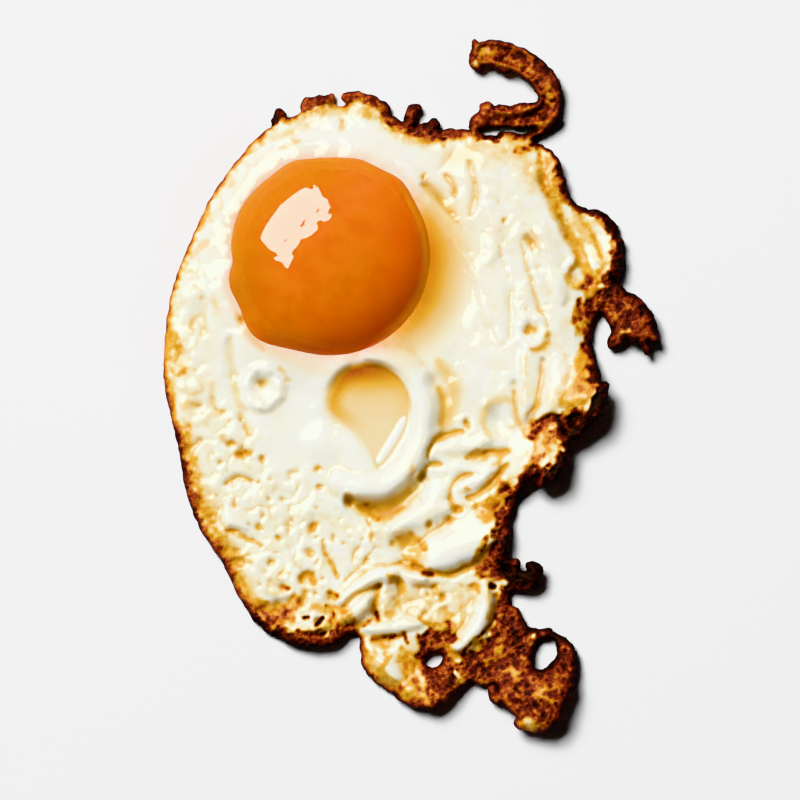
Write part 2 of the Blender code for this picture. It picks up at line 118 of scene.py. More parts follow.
# Crisp pieces that run out past the set white: lines of (x, y, half width) in millimetres.
CURL = [
    (29.0, 26.4, 1.5), (31.0, 27.6, 2.0), (34.8, 27.4, 1.7), (38.8, 27.6, 1.9), (42.6, 28.8, 2.5),
    (43.8, 31.8, 2.4), (42.4, 35.2, 2.6), (39.4, 38.0, 2.6), (35.4, 39.9, 2.6), (32.4, 40.7, 2.5),
    (30.6, 40.5, 2.6),
]
CRISPS = [
    CURL,
    [(28.8, 42.6, 0.7), (28.3, 40.4, 0.6), (28.4, 38.8, 0.8), (29.8, 37.6, 0.6)],
    [(32.6, 38.0, 0.6), (35.0, 36.9, 0.5)],
    [(31.4, 29.4, 0.7), (34.0, 29.8, 0.5), (36.6, 29.6, 0.7), (40.2, 30.2, 0.6)],
    [(31.0, 28.6, 1.4), (31.0, 29.6, 1.3)],
    [(45.4, 27.6, 0.9), (41.8, 25.0, 0.8), (38.4, 23.6, 1.0), (34.2, 24.4, 0.8)],
    [(-10.4, 27.2, 1.3), (-10.3, 28.8, 0.8), (-9.4, 28.4, 0.5)],
    [(-4.4, 30.0, 1.7), (-1.4, 30.9, 1.5), (0.0, 31.8, 0.7)],
    [(3.6, 31.8, 1.3), (7.0, 31.2, 1.4), (10.2, 29.6, 1.5)],
    [(15.8, 27.2, 1.3), (16.6, 29.2, 1.1), (17.3, 30.0, 0.5)],
    [(19.4, 25.8, 1.2), (20.4, 26.4, 1.0), (21.4, 26.2, 0.6)],
    [(52.4, 8.4, 1.0), (54.6, 7.2, 1.2), (56.0, 3.6, 1.6)],
    [(56.6, 1.4, 1.7), (56.4, -2.6, 1.6)],
    [(56.8, 3.6, 1.0), (57.9, 2.4, 0.7)], [(55.2, 6.6, 0.9), (56.9, 5.9, 0.5)],
    [(57.2, -1.2, 0.9), (58.3, -2.0, 0.4)],
    # Two low skirts on the lower right: burnt, and painted near black to stand for the shadow under the
    # lifted edge.
    [(54.0, -26.0, 1.3), (52.4, -30.2, 1.8), (49.8, -33.8, 1.7), (47.2, -36.2, 1.1)],
    [(46.4, -38.8, 1.2), (44.8, -42.2, 1.8), (41.8, -44.8, 1.4)],
    [(54.0, -6.6, 2.6), (57.4, -10.0, 3.6), (59.8, -12.4, 4.3), (62.0, -14.8, 2.9), (64.2, -16.2, 1.2)],
    [(57.6, -15.6, 1.6), (56.3, -17.2, 1.2)],
    [(62.2, -16.8, 1.2), (63.0, -18.8, 0.6)],
    [(34.4, -63.2, 1.8), (37.2, -64.6, 2.2), (39.8, -64.4, 2.0), (40.8, -62.6, 1.4), (39.8, -61.6, 1.0)],
    [(36.0, -63.2, 1.4), (36.6, -61.2, 1.0), (35.6, -60.8, 0.6)],
    [(35.4, -72.4, 2.8), (36.2, -77.4, 4.4), (37.4, -83.0, 5.8), (40.0, -87.4, 5.4), (41.4, -90.8, 3.6)],
    [
        (39.8, -75.8, 1.8), (43.0, -75.6, 1.3), (45.8, -77.0, 1.4), (47.4, -79.6, 1.5), (47.4, -82.6, 1.6),
        (45.8, -85.6, 2.2), (43.6, -88.4, 2.8),
    ],
    [(41.2, -79.0, 2.4), (43.4, -81.6, 2.8), (45.0, -80.0, 2.4)],
    [(37.8, -93.0, 1.3), (41.2, -92.2, 2.3), (44.0, -90.4, 2.4)],
    [(35.8, -86.6, 2.6), (33.4, -87.6, 2.0)],
]

# Where the edge is most ragged: x, y, reach in millimetres.
RAGGED = [
    (57.0, 2.0, 11), (48.0, -80.0, 9), (2.0, 31.0, 7), (18.0, 27.0, 6), (62.0, -15.0, 7),
    (50.0, -33.0, 8),
]

# Holes burst through the crisp: x, y, half length, half width, direction of the length in degrees.
HOLES = [(42.6, -79.2, 3.1, 2.1, 60), (20.6, -80.5, 1.9, 1.3, 30), (34.9, -62.2, 0.5, 0.5, 0)]

# Where the browned edge has curled up off the plate: x, y, radius, height, in millimetres.
LIFTS = [
    (22.0, -90.0, 11, 2.4), (44.0, -90.0, 15, 4.6), (53.0, -30.0, 13, 5.6), (44.0, -43.0, 11, 4.6),
    (37.0, -57.0, 9, 2.2), (-3.0, -80.0, 11, 2.0), (50.0, 18.0, 11, 1.8), (58.0, -3.0, 10, 2.0),
    (63.0, -15.0, 11, 2.2), (41.0, -63.0, 7, 2.0), (42.0, 35.0, 13, 1.6), (30.0, 42.0, 9, 1.2),
]

# Folds and creases in the white: line, reach and height, in drawing units and millimetres.
FOLDS = [
    # The rolled rim of the pool and the moat round it.
    ([(370, 356), (397, 364), (418, 386), (426, 414), (420, 446), (402, 474), (376, 489),
     (352, 488), (338, 478)], 17, 2.0),
    ([(344, 361), (327, 382), (319, 406)], 16, 0.35), ([(322, 440), (346, 450), (362, 472)], 20, 1.0),
    ([(350, 503), (376, 512), (403, 502), (423, 478)], 15, -1.6),
    ([(438, 384), (444, 405), (436, 432)], 17, -0.7),
    # Clear white lying low to the right of the yolk, and the thin lines that edge it.
    ([(436, 215), (449, 262), (446, 312), (415, 346)], 26, -0.35),
    ([(424, 188), (440, 199), (453, 213)], 12, -0.9),
    ([(398, 164), (424, 190), (440, 216), (461, 246), (480, 286), (490, 322)], 8, 0.5),
    ([(432, 207), (452, 232), (470, 254)], 5, -0.35),
    # The calm white to the left of the pool.
    ([(231, 340), (232, 372), (239, 402), (250, 432)], 9, -0.9),
    ([(205, 300), (201, 318), (203, 334)], 10, -0.5),
    # The heavy bank of white on the right.
    ([(478, 178), (514, 230), (534, 300), (530, 372), (538, 412)], 62, 1.5),
    ([(500, 160), (530, 178), (548, 214)], 34, 0.7),
    ([(468, 163), (475, 190), (470, 216)], 6, -0.8),
    ([(446, 177), (453, 186), (454, 198)], 6, -0.7),
    ([(520, 245), (531, 286), (546, 328)], 5, -0.55),
    ([(498, 248), (508, 286), (510, 338)], 6, -0.4),
    ([(486, 196), (492, 230), (488, 262)], 9, 0.5),
    ([(540, 232), (553, 268), (560, 300)], 10, 0.6),
    ([(481, 262), (496, 300), (500, 340)], 9, 0.45),
    ([(541, 150), (545, 185), (560, 216), (574, 246), (588, 282)], 8, -0.9),
    ([(571, 212), (588, 236), (601, 262)], 6, 0.25),
    ([(566, 228), (580, 250), (592, 274)], 4, -0.3),
    ([(578, 216), (594, 240), (602, 262)], 3, -0.3),
    ([(514, 384), (515, 412), (523, 427), (534, 414), (541, 386), (542, 360)], 7, -1.2),
    ([(526, 350), (527, 378), (525, 405)], 10, 0.7),
    ([(556, 360), (552, 388), (542, 412)], 13, 1.0),
    # Loops and creases in the lower right.
    ([(463, 431), (446, 436), (433, 443), (427, 459)], 5, -1.1),
    ([(441, 463), (427, 465), (420, 480)], 5, -1.0),
    ([(444, 447), (468, 446), (492, 438)], 9, 0.8),
    ([(471, 474), (456, 480), (450, 491), (453, 503)], 5, -0.9),
    ([(507, 463), (496, 478), (482, 491), (467, 498)], 5, -1.1),
    ([(484, 452), (497, 454), (509, 449)], 6, -1.1),
    ([(455, 466), (474, 470), (497, 458)], 6, 0.6),
    ([(461, 488), (479, 479), (494, 468)], 7, 0.8),
    ([(455, 511), (440, 528), (420, 541)], 5, -0.5),
    ([(432, 498), (446, 490)], 12, 0.5),
    # The two pillows over the crisp lobe and the hollow between them.
    ([(431, 558), (458, 550), (488, 534)], 24, 2.3),
    ([(394, 527), (420, 516), (446, 508)], 15, 1.2),
    ([(505, 526), (487, 552), (466, 567), (440, 573), (414, 567)], 6, -1.5),
    ([(408, 545), (417, 553), (410, 564)], 18, -1.4),
    # The folded fingers that point towards the lobe.
    ([(342, 602), (361, 585), (391, 572), (424, 579)], 10, 2.0),
    ([(343, 607), (358, 593), (377, 586)], 6, -0.9),
    ([(346, 590), (370, 569), (400, 562)], 5, -0.7),
    ([(344, 618), (359, 607), (377, 592)], 10, 1.7),
    ([(380, 585), (373, 603), (377, 617)], 6, -1.8),
    ([(398, 572), (402, 584), (400, 594)], 6, -1.1),
    ([(386, 584), (384, 611)], 8, 0.8),
    ([(368, 629), (394, 626), (419, 622)], 8, 1.2),
    ([(396, 606), (412, 600), (420, 590)], 10, -0.5),
    ([(487, 588), (483, 612), (474, 631), (458, 646)], 12, 2.0),
    ([(497, 590), (496, 612), (486, 632)], 5, -0.9),
    ([(371, 655), (384, 672), (409, 690)], 12, 0.9),
    ([(384, 662), (396, 672)], 9, 0.7),
    ([(374, 641), (392, 640)], 6, -0.9),
    # Froth that set in small ridges and runs in the lower left.
    ([(322, 540), (328, 558), (339, 576)], 5, -0.7),
    ([(374, 547), (359, 566), (345, 580)], 4, -0.5),
    ([(362, 538), (352, 562)], 4, -0.4),
    ([(378, 520), (371, 540), (372, 552)], 5, 0.5),
    ([(228, 531), (245, 536), (262, 546)], 4, -0.7),
    ([(226, 484), (238, 476), (254, 481)], 5, -0.8),
    ([(228, 500), (232, 520), (246, 527)], 8, 0.6),
    ([(202, 439), (190, 450), (187, 464)], 5, -0.6),
    ([(275, 624), (300, 629), (327, 624)], 7, 1.1),
    ([(258, 612), (280, 606), (292, 600)], 10, -0.9),
    ([(330, 598), (334, 612)], 8, -0.9),
    ([(300, 582), (308, 574), (315, 580)], 6, -1.2),
    ([(306, 590), (304, 603)], 5, -0.7),
    ([(184, 365), (196, 378), (200, 392)], 6, 0.4),
    ([(170, 336), (180, 352), (182, 372)], 8, -0.4),
]

# Single hollows: across, down, half width, half height, depth in millimetres.
HOLLOWS = [
    (264, 385, 6, 6, 1.6), (531, 243, 7, 9, 0.9), (503, 221, 4, 4, 0.5), (342, 126, 5, 7, 0.5),
    (530, 330, 8, 8, 1.2), (577, 274, 9, 11, 0.8), (498, 419, 13, 20, 1.5), (438, 476, 15, 11, 0.5),
    (467, 424, 5, 5, 1.0), (457, 509, 6, 6, 1.2), (450, 520, 4, 4, 0.8), (430, 524, 4, 5, 1.0),
    (477, 456, 14, 9, 0.9), (286, 147, 8, 4, 0.4), (348, 500, 6, 6, 0.7), (313, 527, 6, 6, 1.2),
    (260, 526, 5, 5, 0.9), (319, 486, 5, 4, 0.8), (319, 469, 4, 4, 0.6), (246, 453, 9, 7, 1.0),
    (263, 460, 5, 5, 0.8), (232, 444, 6, 5, 0.7), (283, 586, 5, 4, 1.0), (274, 583, 5, 6, 0.6),
    (240, 561, 8, 7, 0.9), (238, 549, 6, 4, 0.7), (318, 620, 6, 4, 1.6), (307, 617, 4, 3, 1.2),
    (292, 473, 8, 4, 0.6), (290, 524, 6, 9, 0.5), (209, 490, 8, 6, 0.4), (235, 500, 4, 6, 0.4),
    (251, 500, 4, 4, 0.3), (371, 536, 4, 5, 0.7), (393, 543, 4, 4, 0.6), (243, 322, 5, 5, 0.7),
    (193, 324, 4, 8, 0.4), (433, 587, 4, 4, 0.8), (428, 594, 4, 4, 0.6), (441, 597, 4, 5, 0.7),
    (426, 612, 4, 4, 0.7), (449, 614, 9, 7, 0.5), (472, 586, 6, 4, 0.9), (493, 585, 5, 5, 1.6),
    (405, 601, 14, 9, 0.6), (323, 633, 6, 3, 1.2), (338, 607, 4, 6, 0.8), (287, 380, 4, 3, 0.3),
    (281, 369, 5, 3, 0.3), (424, 178, 4, 5, 0.5), (214, 400, 5, 9, 0.4), (196, 405, 10, 4, 0.4),
    (221, 412, 7, 4, 0.4),
]
# Burst bubbles with a raised lip: across, down, radius of the lip, its reach, its height.
LIPS = [
    (263, 387, 17, 11, 1.3), (530, 331, 14, 7, 0.7), (457, 509, 8, 4, 0.4), (577, 274, 13, 6, 0.5),
    (467, 424, 8, 4, 0.25), (348, 500, 9, 4, 0.35), (283, 586, 9, 5, 0.4), (274, 583, 8, 4, 0.3),
    (431, 590, 8, 4, 0.4), (449, 614, 13, 5, 0.5),
]

# Calm, smooth areas that the froth leaves alone: line and reach.
CALM = [
    ([(372, 361), (393, 371), (411, 392), (418, 420), (411, 450), (396, 476), (374, 489), (340, 480)], 24),
    ([(372, 400), (372, 430)], 52),
    ([(250, 350), (290, 370), (300, 430), (290, 458)], 48),
    ([(436, 215), (449, 262), (446, 312), (430, 350)], 34),
    ([(431, 558), (458, 550), (488, 534)], 20),
    ([(342, 602), (361, 585), (391, 572), (424, 579)], 9),
    ([(344, 618), (359, 607), (377, 592)], 9),
    ([(487, 588), (483, 612), (474, 631)], 9),
    ([(300, 140), (350, 135), (390, 145), (420, 160)], 16),
    ([(498, 419), (530, 380), (525, 340)], 20),
]
# Frothy areas full of small burst bubbles: line, reach, strength.
FROTHY = [
    ([(270, 520), (300, 560)], 70, 1.0), ([(210, 410), (235, 450), (225, 500)], 34, 0.9),
    ([(330, 540), (365, 545)], 40, 0.9), ([(374, 650), (398, 684)], 26, 0.9),
    ([(195, 260), (185, 330), (200, 380)], 26, 0.5), ([(255, 160), (225, 200), (205, 250)], 20, 0.35),
    ([(410, 590), (450, 605)], 40, 0.8), ([(478, 190), (520, 250), (545, 310), (545, 360)], 42, 0.42),
    ([(440, 500), (490, 480)], 34, 0.4),
]

# The pool of clear gel below the yolk: its edge, its level in millimetres, and the browning that
# shows through it at so many millimetres below its upper end, darkest at the upper end as painted
# shade under the white that rises above it.
POOL_EDGE = [
    (327, 405), (330, 389), (340, 374), (355, 366), (374, 364), (392, 371), (405, 385), (411, 402),
    (409, 420), (401, 440), (389, 458), (377, 468), (369, 453), (357, 437), (343, 426), (332, 417),
]
POOL_LEVEL = 3.4
POOL_TOP = (366, 362)
POOL_GOLD_AND_PAINTED_SHADE = [
    (0.0, 0.43), (2.4, 0.41), (3.6, 0.36), (5.2, 0.285), (7.0, 0.22), (9.0, 0.19), (12.0, 0.17),
    (30.0, 0.16),
]
# A painted highlight: a pale stripe across the pool, over a low ridge.
POOL_GLINT = [(404, 419), (393, 439), (379, 461)]
POOL_GLINT_REACH = 5

# Bubbles in the froth: spacing in millimetres, depth, seed, share of the places left without one.
FROTH_BUBBLES = [(4.4, 0.6, 31, 0.45), (2.5, 0.36, 32, 0.7)]

# Gel: clear, soft white that lets the gold below show through. Line, reach, strength.
GEL = [
    ([(372, 400), (372, 430)], 50, 1.0), ([(434, 215), (448, 262), (442, 312), (412, 346)], 30, 0.9),
    ([(424, 190), (440, 200), (453, 213)], 12, 0.7), ([(438, 386), (445, 405), (440, 428)], 16, 0.8),
    ([(352, 503), (376, 511), (403, 503), (420, 484)], 13, 0.7),
    ([(408, 545), (416, 554), (410, 565)], 18, 0.7),
    ([(250, 350), (290, 370), (300, 430), (290, 458)], 44, 0.35),
]

# How the edge has browned: across, down, how far in it reaches, how dark it is at the rim.
EDGE_BROWN = [
    (190, 243, 9, 0.68), (172, 300, 8, 0.68), (165, 330, 10, 0.62), (163, 370, 11, 0.68),
    (167, 400, 12, 0.80), (181, 460, 20, 0.92), (190, 502, 21, 0.88), (206, 538, 22, 0.86),
    (228, 575, 17, 0.84), (243, 605, 15, 0.84), (262, 627, 18, 1.0), (305, 648, 20, 1.0),
    (345, 635, 18, 1.0), (212, 198, 9, 0.68), (240, 158, 9, 0.70), (262, 133, 9, 0.75),
    (279, 115, 9, 1.0), (298, 119, 7, 0.7), (318, 103, 14, 0.92), (337, 108, 9, 0.5),
    (358, 97, 9, 0.86), (386, 116, 13, 0.9), (415, 112, 16, 0.88), (436, 128, 14, 0.95),
    (462, 127, 12, 0.86), (478, 112, 12, 0.7), (497, 132, 9, 0.95), (520, 140, 9, 0.95),
    (478, 40, 6, 0.9), (505, 46, 8, 0.92), (532, 58, 10, 0.95), (552, 78, 11, 1.0), (562, 106, 12, 1.0),
    (540, 130, 7, 0.95), (474, 68, 6, 0.85), (505, 72, 5, 0.85), (532, 92, 5, 0.9), (510, 110, 6, 0.95),
    (470, 56, 6, 0.9), (552, 147, 8, 1.0), (563, 175, 10, 1.0), (568, 200, 10, 1.0),
    (590, 211, 12, 0.97), (612, 235, 15, 1.0), (618, 262, 16, 1.0), (635, 298, 14, 0.95),
    (655, 330, 14, 0.95), (625, 349, 12, 0.95), (607, 335, 10, 0.92), (594, 340, 16, 0.9),
    (600, 376, 17, 1.0), (590, 402, 14, 1.0), (570, 422, 11, 1.0), (566, 440, 12, 1.0),
    (556, 466, 12, 1.0), (532, 480, 17, 0.97), (514, 508, 20, 0.97), (511, 535, 22, 0.98),
    (512, 558, 26, 1.0), (530, 565, 14, 1.0), (516, 592, 18, 0.9), (520, 622, 18, 0.92),
    (545, 627, 14, 1.0), (570, 650, 13, 1.0), (572, 680, 14, 1.0), (558, 712, 14, 0.85),
    (530, 729, 9, 0.6), (513, 720, 9, 0.8), (500, 704, 10, 0.97), (485, 688, 8, 0.7),
    (462, 685, 9, 0.8), (440, 706, 12, 0.9), (408, 704, 11, 0.88), (385, 688, 8, 0.8),
    (364, 670, 7, 0.75), (360, 640, 7, 0.7),
]
# How far each of those marks holds sway, in drawing units.
EDGE_BLEND = 13

# Browning painted on: line, reach, level, softness. Later strokes lie over earlier ones.
BROWNED = [
    # Cream and tan bands along the rim, and the hollow between the folded fingers.
    ([(366, 612), (400, 604), (440, 602), (472, 592)], 32, 0.15, 1.0),
    ([(176, 300), (174, 345), (184, 385), (190, 430), (203, 490), (218, 530), (240, 575),
     (262, 608), (300, 628)], 17, 0.13, 1.0),
    ([(172, 335), (175, 352), (180, 372)], 15, 0.33, 0.7),
    ([(186, 425), (195, 470), (204, 500), (222, 540), (246, 590), (268, 615), (300, 636),
     (340, 622)], 12, 0.36, 1.0),
    ([(262, 608), (285, 612), (300, 600)], 15, 0.46, 0.9), ([(288, 611), (292, 619)], 8, 0.52, 0.9),
    ([(270, 140), (300, 130), (318, 118), (345, 112), (380, 120)], 10, 0.17, 1.0),
    ([(345, 108), (370, 112)], 12, 0.30, 1.0), ([(306, 114), (322, 112)], 9, 0.36, 1.0),
    ([(388, 130), (420, 142), (450, 140)], 10, 0.28, 1.0),
    ([(306, 108), (314, 102), (328, 100)], 9, 0.72, 0.6),
    ([(347, 99), (362, 98), (378, 105), (386, 113)], 8, 0.66, 0.8),
    ([(386, 115), (394, 124), (410, 131), (426, 134), (440, 134), (458, 129), (472, 121)], 11, 0.68,
     0.7),
    ([(414, 107), (413, 120)], 8, 0.80, 0.6), ([(428, 124), (431, 130)], 7, 0.82, 0.6),
    ([(276, 121), (280, 116)], 7, 0.82, 0.6), ([(398, 129), (404, 131)], 3, 0.44, 0.9),
    ([(446, 131), (452, 129)], 3, 0.44, 0.9), ([(468, 122), (480, 116), (495, 122)], 9, 0.44, 0.9),
    ([(478, 126), (492, 138), (520, 146), (545, 150)], 11, 0.36, 0.9),
    ([(492, 148), (518, 158), (536, 182)], 24, 0.19, 1.0), ([(514, 152), (531, 150)], 6, 0.48, 0.8),
    ([(545, 158), (553, 180), (560, 200)], 13, 0.36, 1.0),
    ([(556, 172), (563, 196), (568, 206)], 7, 0.62, 1.0),
    ([(540, 152), (543, 182), (556, 212), (570, 242), (584, 268), (594, 288)], 10, 0.40, 1.0),
    ([(574, 216), (590, 238), (604, 264)], 13, 0.3, 0.9),
    ([(577, 222), (590, 246), (599, 266)], 2.5, 0.30, 0.9),
    ([(584, 224), (596, 245), (602, 258)], 3, 0.48, 0.9),
    ([(566, 226), (580, 250), (592, 276)], 4, 0.44, 0.9),
    ([(569, 272), (577, 264), (586, 272), (585, 283), (575, 287), (568, 280), (570, 270)], 4, 0.42,
     0.9),
    ([(588, 285), (598, 300), (606, 306)], 13, 0.55, 0.8),
    ([(578, 300), (584, 322), (588, 340)], 10, 0.6, 0.8), ([(574, 318), (579, 334)], 6, 0.46, 0.8),
    ([(588, 306), (592, 320)], 9, 0.72, 0.8), ([(608, 303), (618, 314), (624, 328)], 11, 0.46, 0.9),
    ([(614, 306), (621, 318)], 5, 0.36, 0.9), ([(606, 300), (616, 302)], 8, 0.56, 0.8),
    # The pale lump on the right rim and the browned knuckles below it.
    ([(590, 354), (586, 378), (568, 404)], 16, 0.38, 1.0),
    ([(572, 366), (558, 388), (548, 404)], 9, 0.18, 0.9), ([(583, 350), (575, 372)], 5, 0.5, 0.9),
    ([(589, 372), (590, 388)], 6, 0.45, 0.9), ([(586, 368), (580, 388), (566, 408)], 12, 0.40, 1.0),
    ([(594, 366), (592, 384), (580, 404)], 5, 0.56, 0.9), ([(578, 374), (572, 392)], 4, 0.54, 0.9),
    ([(566, 392), (560, 402)], 4, 0.46, 0.9), ([(548, 420), (538, 426), (532, 436)], 11, 0.68, 0.8),
    ([(556, 418), (560, 428)], 6, 0.85, 0.8), ([(552, 434), (540, 448), (530, 464)], 14, 0.52, 0.8),
    ([(547, 438), (536, 455)], 9, 0.43, 0.9), ([(520, 470), (526, 480)], 10, 0.85, 0.8),
    ([(512, 448), (518, 462), (514, 480)], 5, 0.12, 0.8),
    ([(503, 487), (498, 500), (486, 508)], 13, 0.47, 0.8), ([(488, 504), (478, 506)], 9, 0.36, 0.8),
    ([(508, 488), (513, 494)], 6, 0.7, 0.8), ([(500, 514), (500, 526), (494, 534)], 8, 0.66, 0.8),
    ([(492, 515), (486, 518)], 5, 0.5, 0.8), ([(488, 534), (480, 548), (472, 560)], 6, 0.5, 0.9),
    ([(504, 530), (498, 545), (485, 560), (478, 566)], 12, 0.68, 0.8),
    ([(506, 545), (500, 562)], 10, 0.9, 0.8),
    # The curl and the shreds beside it.
    ([(474, 122), (490, 118), (505, 119), (530, 116), (545, 112), (551, 98), (545, 80), (528, 68),
     (508, 59), (488, 53), (474, 54)], 22, 0.68, 0.5),
    ([(500, 120), (530, 117)], 5, 0.60, 0.9), ([(551, 106), (549, 90)], 8, 0.56, 0.9),
    ([(536, 74), (515, 62)], 8, 0.57, 0.9), ([(498, 53), (480, 53)], 9, 0.50, 0.9),
    ([(482, 108), (490, 112)], 6, 0.56, 0.9), ([(618, 300), (640, 318), (652, 334)], 26, 0.72, 0.5),
    ([(519, 573), (530, 575), (538, 568)], 15, 1.15, 0.4),
    # Creases where the golden underside shows, with painted shade on the walls of pits and creases
    # that face away from the light.
    ([(468, 163), (475, 190), (470, 215)], 4.5, 0.17, 1.0),
    ([(447, 177), (453, 187), (454, 197)], 4, 0.32, 1.0), ([(424, 176), (426, 181)], 4, 0.3, 1.0),
    ([(342, 122), (341, 130)], 4, 0.3, 1.0), ([(284, 148), (300, 143)], 3.5, 0.28, 1.0),
    ([(264, 160), (284, 149)], 2.5, 0.18, 1.0), ([(250, 172), (236, 196)], 3, 0.12, 1.0),
    ([(526, 239), (533, 248)], 5, 0.32, 1.0), ([(531, 232), (545, 252)], 6, 0.16, 1.0),
    ([(503, 221), (503, 223)], 3.5, 0.24, 1.0), ([(474, 160), (482, 166)], 5, 0.22, 1.0),
    ([(520, 245), (531, 286), (544, 322)], 4, 0.13, 1.0), ([(527, 330), (533, 330)], 7, 0.34, 0.9),
    ([(546, 334), (545, 344), (536, 350), (530, 350)], 4, 0.42, 1.0),
    ([(530, 343), (534, 341)], 4, 0.04, 1.0),
    ([(511, 402), (500, 399), (488, 404), (483, 416), (485, 430), (491, 438)], 5, 0.26, 1.0),
    ([(513, 392), (515, 410), (517, 424)], 4, 0.32, 1.0),
    ([(540, 366), (539, 386), (534, 404), (524, 415)], 3, 0.3, 1.0),
    ([(524, 356), (527, 384), (523, 404)], 9, 0.13, 1.0),
    ([(505, 436), (515, 424), (525, 418)], 9, 0.15, 1.0),
    ([(463, 431), (447, 435), (434, 442), (427, 457)], 3.2, 0.42, 1.0),
    ([(441, 463), (428, 465), (421, 478)], 3.2, 0.40, 1.0),
    ([(471, 474), (456, 480), (450, 491), (453, 503)], 3, 0.32, 1.0),
    ([(506, 464), (496, 478), (482, 491), (467, 498)], 3.6, 0.46, 1.0),
    ([(487, 451), (498, 453), (508, 450)], 4.5, 0.48, 1.0),
    ([(466, 458), (476, 453), (484, 458)], 7, 0.34, 1.0), ([(475, 451), (482, 456)], 4, 0.44, 1.0),
    ([(498, 456), (500, 468)], 4, 0.36, 1.0), ([(467, 423), (467, 426)], 4.5, 0.34, 0.9),
    ([(453, 507), (460, 508)], 5, 0.42, 1.0), ([(448, 520), (453, 519)], 3.5, 0.42, 1.0),
    ([(430, 522), (430, 526)], 3.5, 0.38, 1.0), ([(455, 512), (440, 526), (418, 540)], 4, 0.24, 1.0),
    ([(465, 489), (468, 490)], 2.5, 0.4, 1.0), ([(393, 543), (396, 543)], 3, 0.34, 1.0),
    ([(400, 538), (414, 538), (424, 548)], 8, 0.36, 0.8), ([(404, 540), (412, 540)], 5, 0.42, 0.9),
    ([(404, 556), (410, 562), (420, 566)], 7, 0.36, 0.9), ([(412, 552), (420, 556)], 6, 0.26, 1.0),
    ([(414, 567), (440, 573), (466, 568), (486, 553)], 4, 0.5, 0.9),
    ([(424, 572), (430, 574)], 5, 0.62, 0.9), ([(388, 573), (400, 582), (404, 590)], 5, 0.46, 0.9),
    ([(345, 605), (358, 593), (377, 586)], 4, 0.34, 1.0),
    ([(380, 588), (374, 604), (376, 614)], 3.5, 0.54, 1.0), ([(376, 612), (378, 618)], 5, 0.76, 1.0),
    ([(372, 618), (362, 626)], 5, 0.6, 0.9), ([(330, 592), (336, 596)], 6, 0.5, 1.0),
    ([(326, 604), (333, 612), (331, 622)], 7, 0.52, 0.9), ([(344, 612), (352, 620)], 8, 0.42, 0.9),
    ([(317, 623), (322, 617)], 4, 0.9, 0.8), ([(305, 617), (309, 616)], 3, 0.75, 0.8),
    ([(316, 606), (326, 610)], 5, 0.42, 1.0), ([(322, 634), (326, 632)], 3, 0.9, 0.8),
    ([(336, 627), (346, 632)], 6, 0.6, 0.9), ([(300, 578), (308, 575), (314, 581)], 4, 0.5, 0.9),
    ([(306, 584), (304, 596)], 4, 0.3, 1.0), ([(284, 585), (288, 588)], 3.5, 0.6, 0.9),
    ([(279, 580), (283, 572), (290, 572)], 2.5, 0.3, 1.0),
    ([(268, 585), (272, 592), (280, 590)], 2.5, 0.24, 1.0), ([(235, 552), (247, 558)], 5, 0.42, 1.0),
    ([(238, 565), (242, 566)], 4, 0.5, 1.0), ([(229, 532), (242, 537), (258, 543)], 2.8, 0.32, 1.0),
    ([(228, 482), (238, 477), (252, 481)], 3.5, 0.22, 1.0),
    ([(201, 441), (192, 450), (188, 462)], 3, 0.28, 1.0), ([(238, 454), (251, 452)], 6, 0.4, 0.9),
    ([(232, 443), (236, 445)], 4, 0.34, 1.0), ([(263, 458), (263, 463)], 3.5, 0.32, 1.0),
    ([(348, 497), (348, 502)], 4.5, 0.46, 0.9), ([(311, 529), (316, 524)], 4, 0.42, 0.9),
    ([(258, 526), (262, 526)], 3.5, 0.36, 1.0), ([(317, 486), (322, 486)], 3.5, 0.32, 1.0),
    ([(316, 470), (321, 468)], 3, 0.32, 1.0), ([(290, 476), (298, 470)], 4, 0.22, 1.0),
    ([(290, 520), (290, 530)], 4, 0.2, 1.0), ([(206, 491), (212, 489)], 5, 0.2, 1.0),
    ([(236, 498), (236, 504)], 3, 0.2, 1.0), ([(322, 541), (328, 558), (337, 573)], 2.6, 0.3, 1.0),
    ([(374, 547), (359, 566), (346, 579)], 1.8, 0.2, 1.0), ([(320, 562), (326, 560)], 5, 0.2, 1.0),
    ([(371, 533), (371, 539)], 3, 0.32, 1.0), ([(356, 556), (359, 548)], 3, 0.22, 1.0),
    ([(362, 504), (374, 510), (378, 520)], 6, 0.42, 0.9), ([(262, 384), (267, 382)], 5, 0.26, 1.0),
    ([(242, 320), (245, 324)], 4, 0.36, 0.9), ([(193, 318), (192, 332)], 3.5, 0.28, 1.0),
    ([(215, 300), (218, 310)], 8, 0.14, 1.0), ([(205, 318), (204, 334)], 5, 0.18, 1.0),
    ([(232, 345), (232, 372), (240, 404), (251, 432)], 4, 0.12, 1.0),
    ([(186, 405), (200, 402)], 4, 0.28, 1.0), ([(192, 395), (202, 391)], 3.5, 0.24, 1.0),
    ([(212, 385), (214, 402)], 4, 0.2, 1.0), ([(216, 415), (223, 411)], 4, 0.24, 1.0),
    ([(210, 420), (206, 424)], 4, 0.18, 1.0), ([(280, 369), (284, 371)], 3, 0.24, 1.0),
    ([(286, 381), (289, 380)], 3, 0.2, 1.0), ([(223, 432), (225, 440)], 3, 0.28, 1.0),
    ([(214, 450), (212, 458)], 4, 0.16, 1.0), ([(194, 288), (196, 276)], 4, 0.14, 1.0),
    # The crisp lobe: red-brown crust round a pale flap and a golden pad.
    ([(424, 640), (440, 628), (452, 636)], 13, 0.70, 0.5),
    ([(430, 650), (440, 672), (442, 698)], 22, 0.70, 0.45),
    ([(466, 668), (500, 650), (508, 625), (512, 598)], 24, 0.68, 0.45),
    ([(480, 675), (510, 680), (530, 700), (545, 716)], 28, 0.68, 0.45),
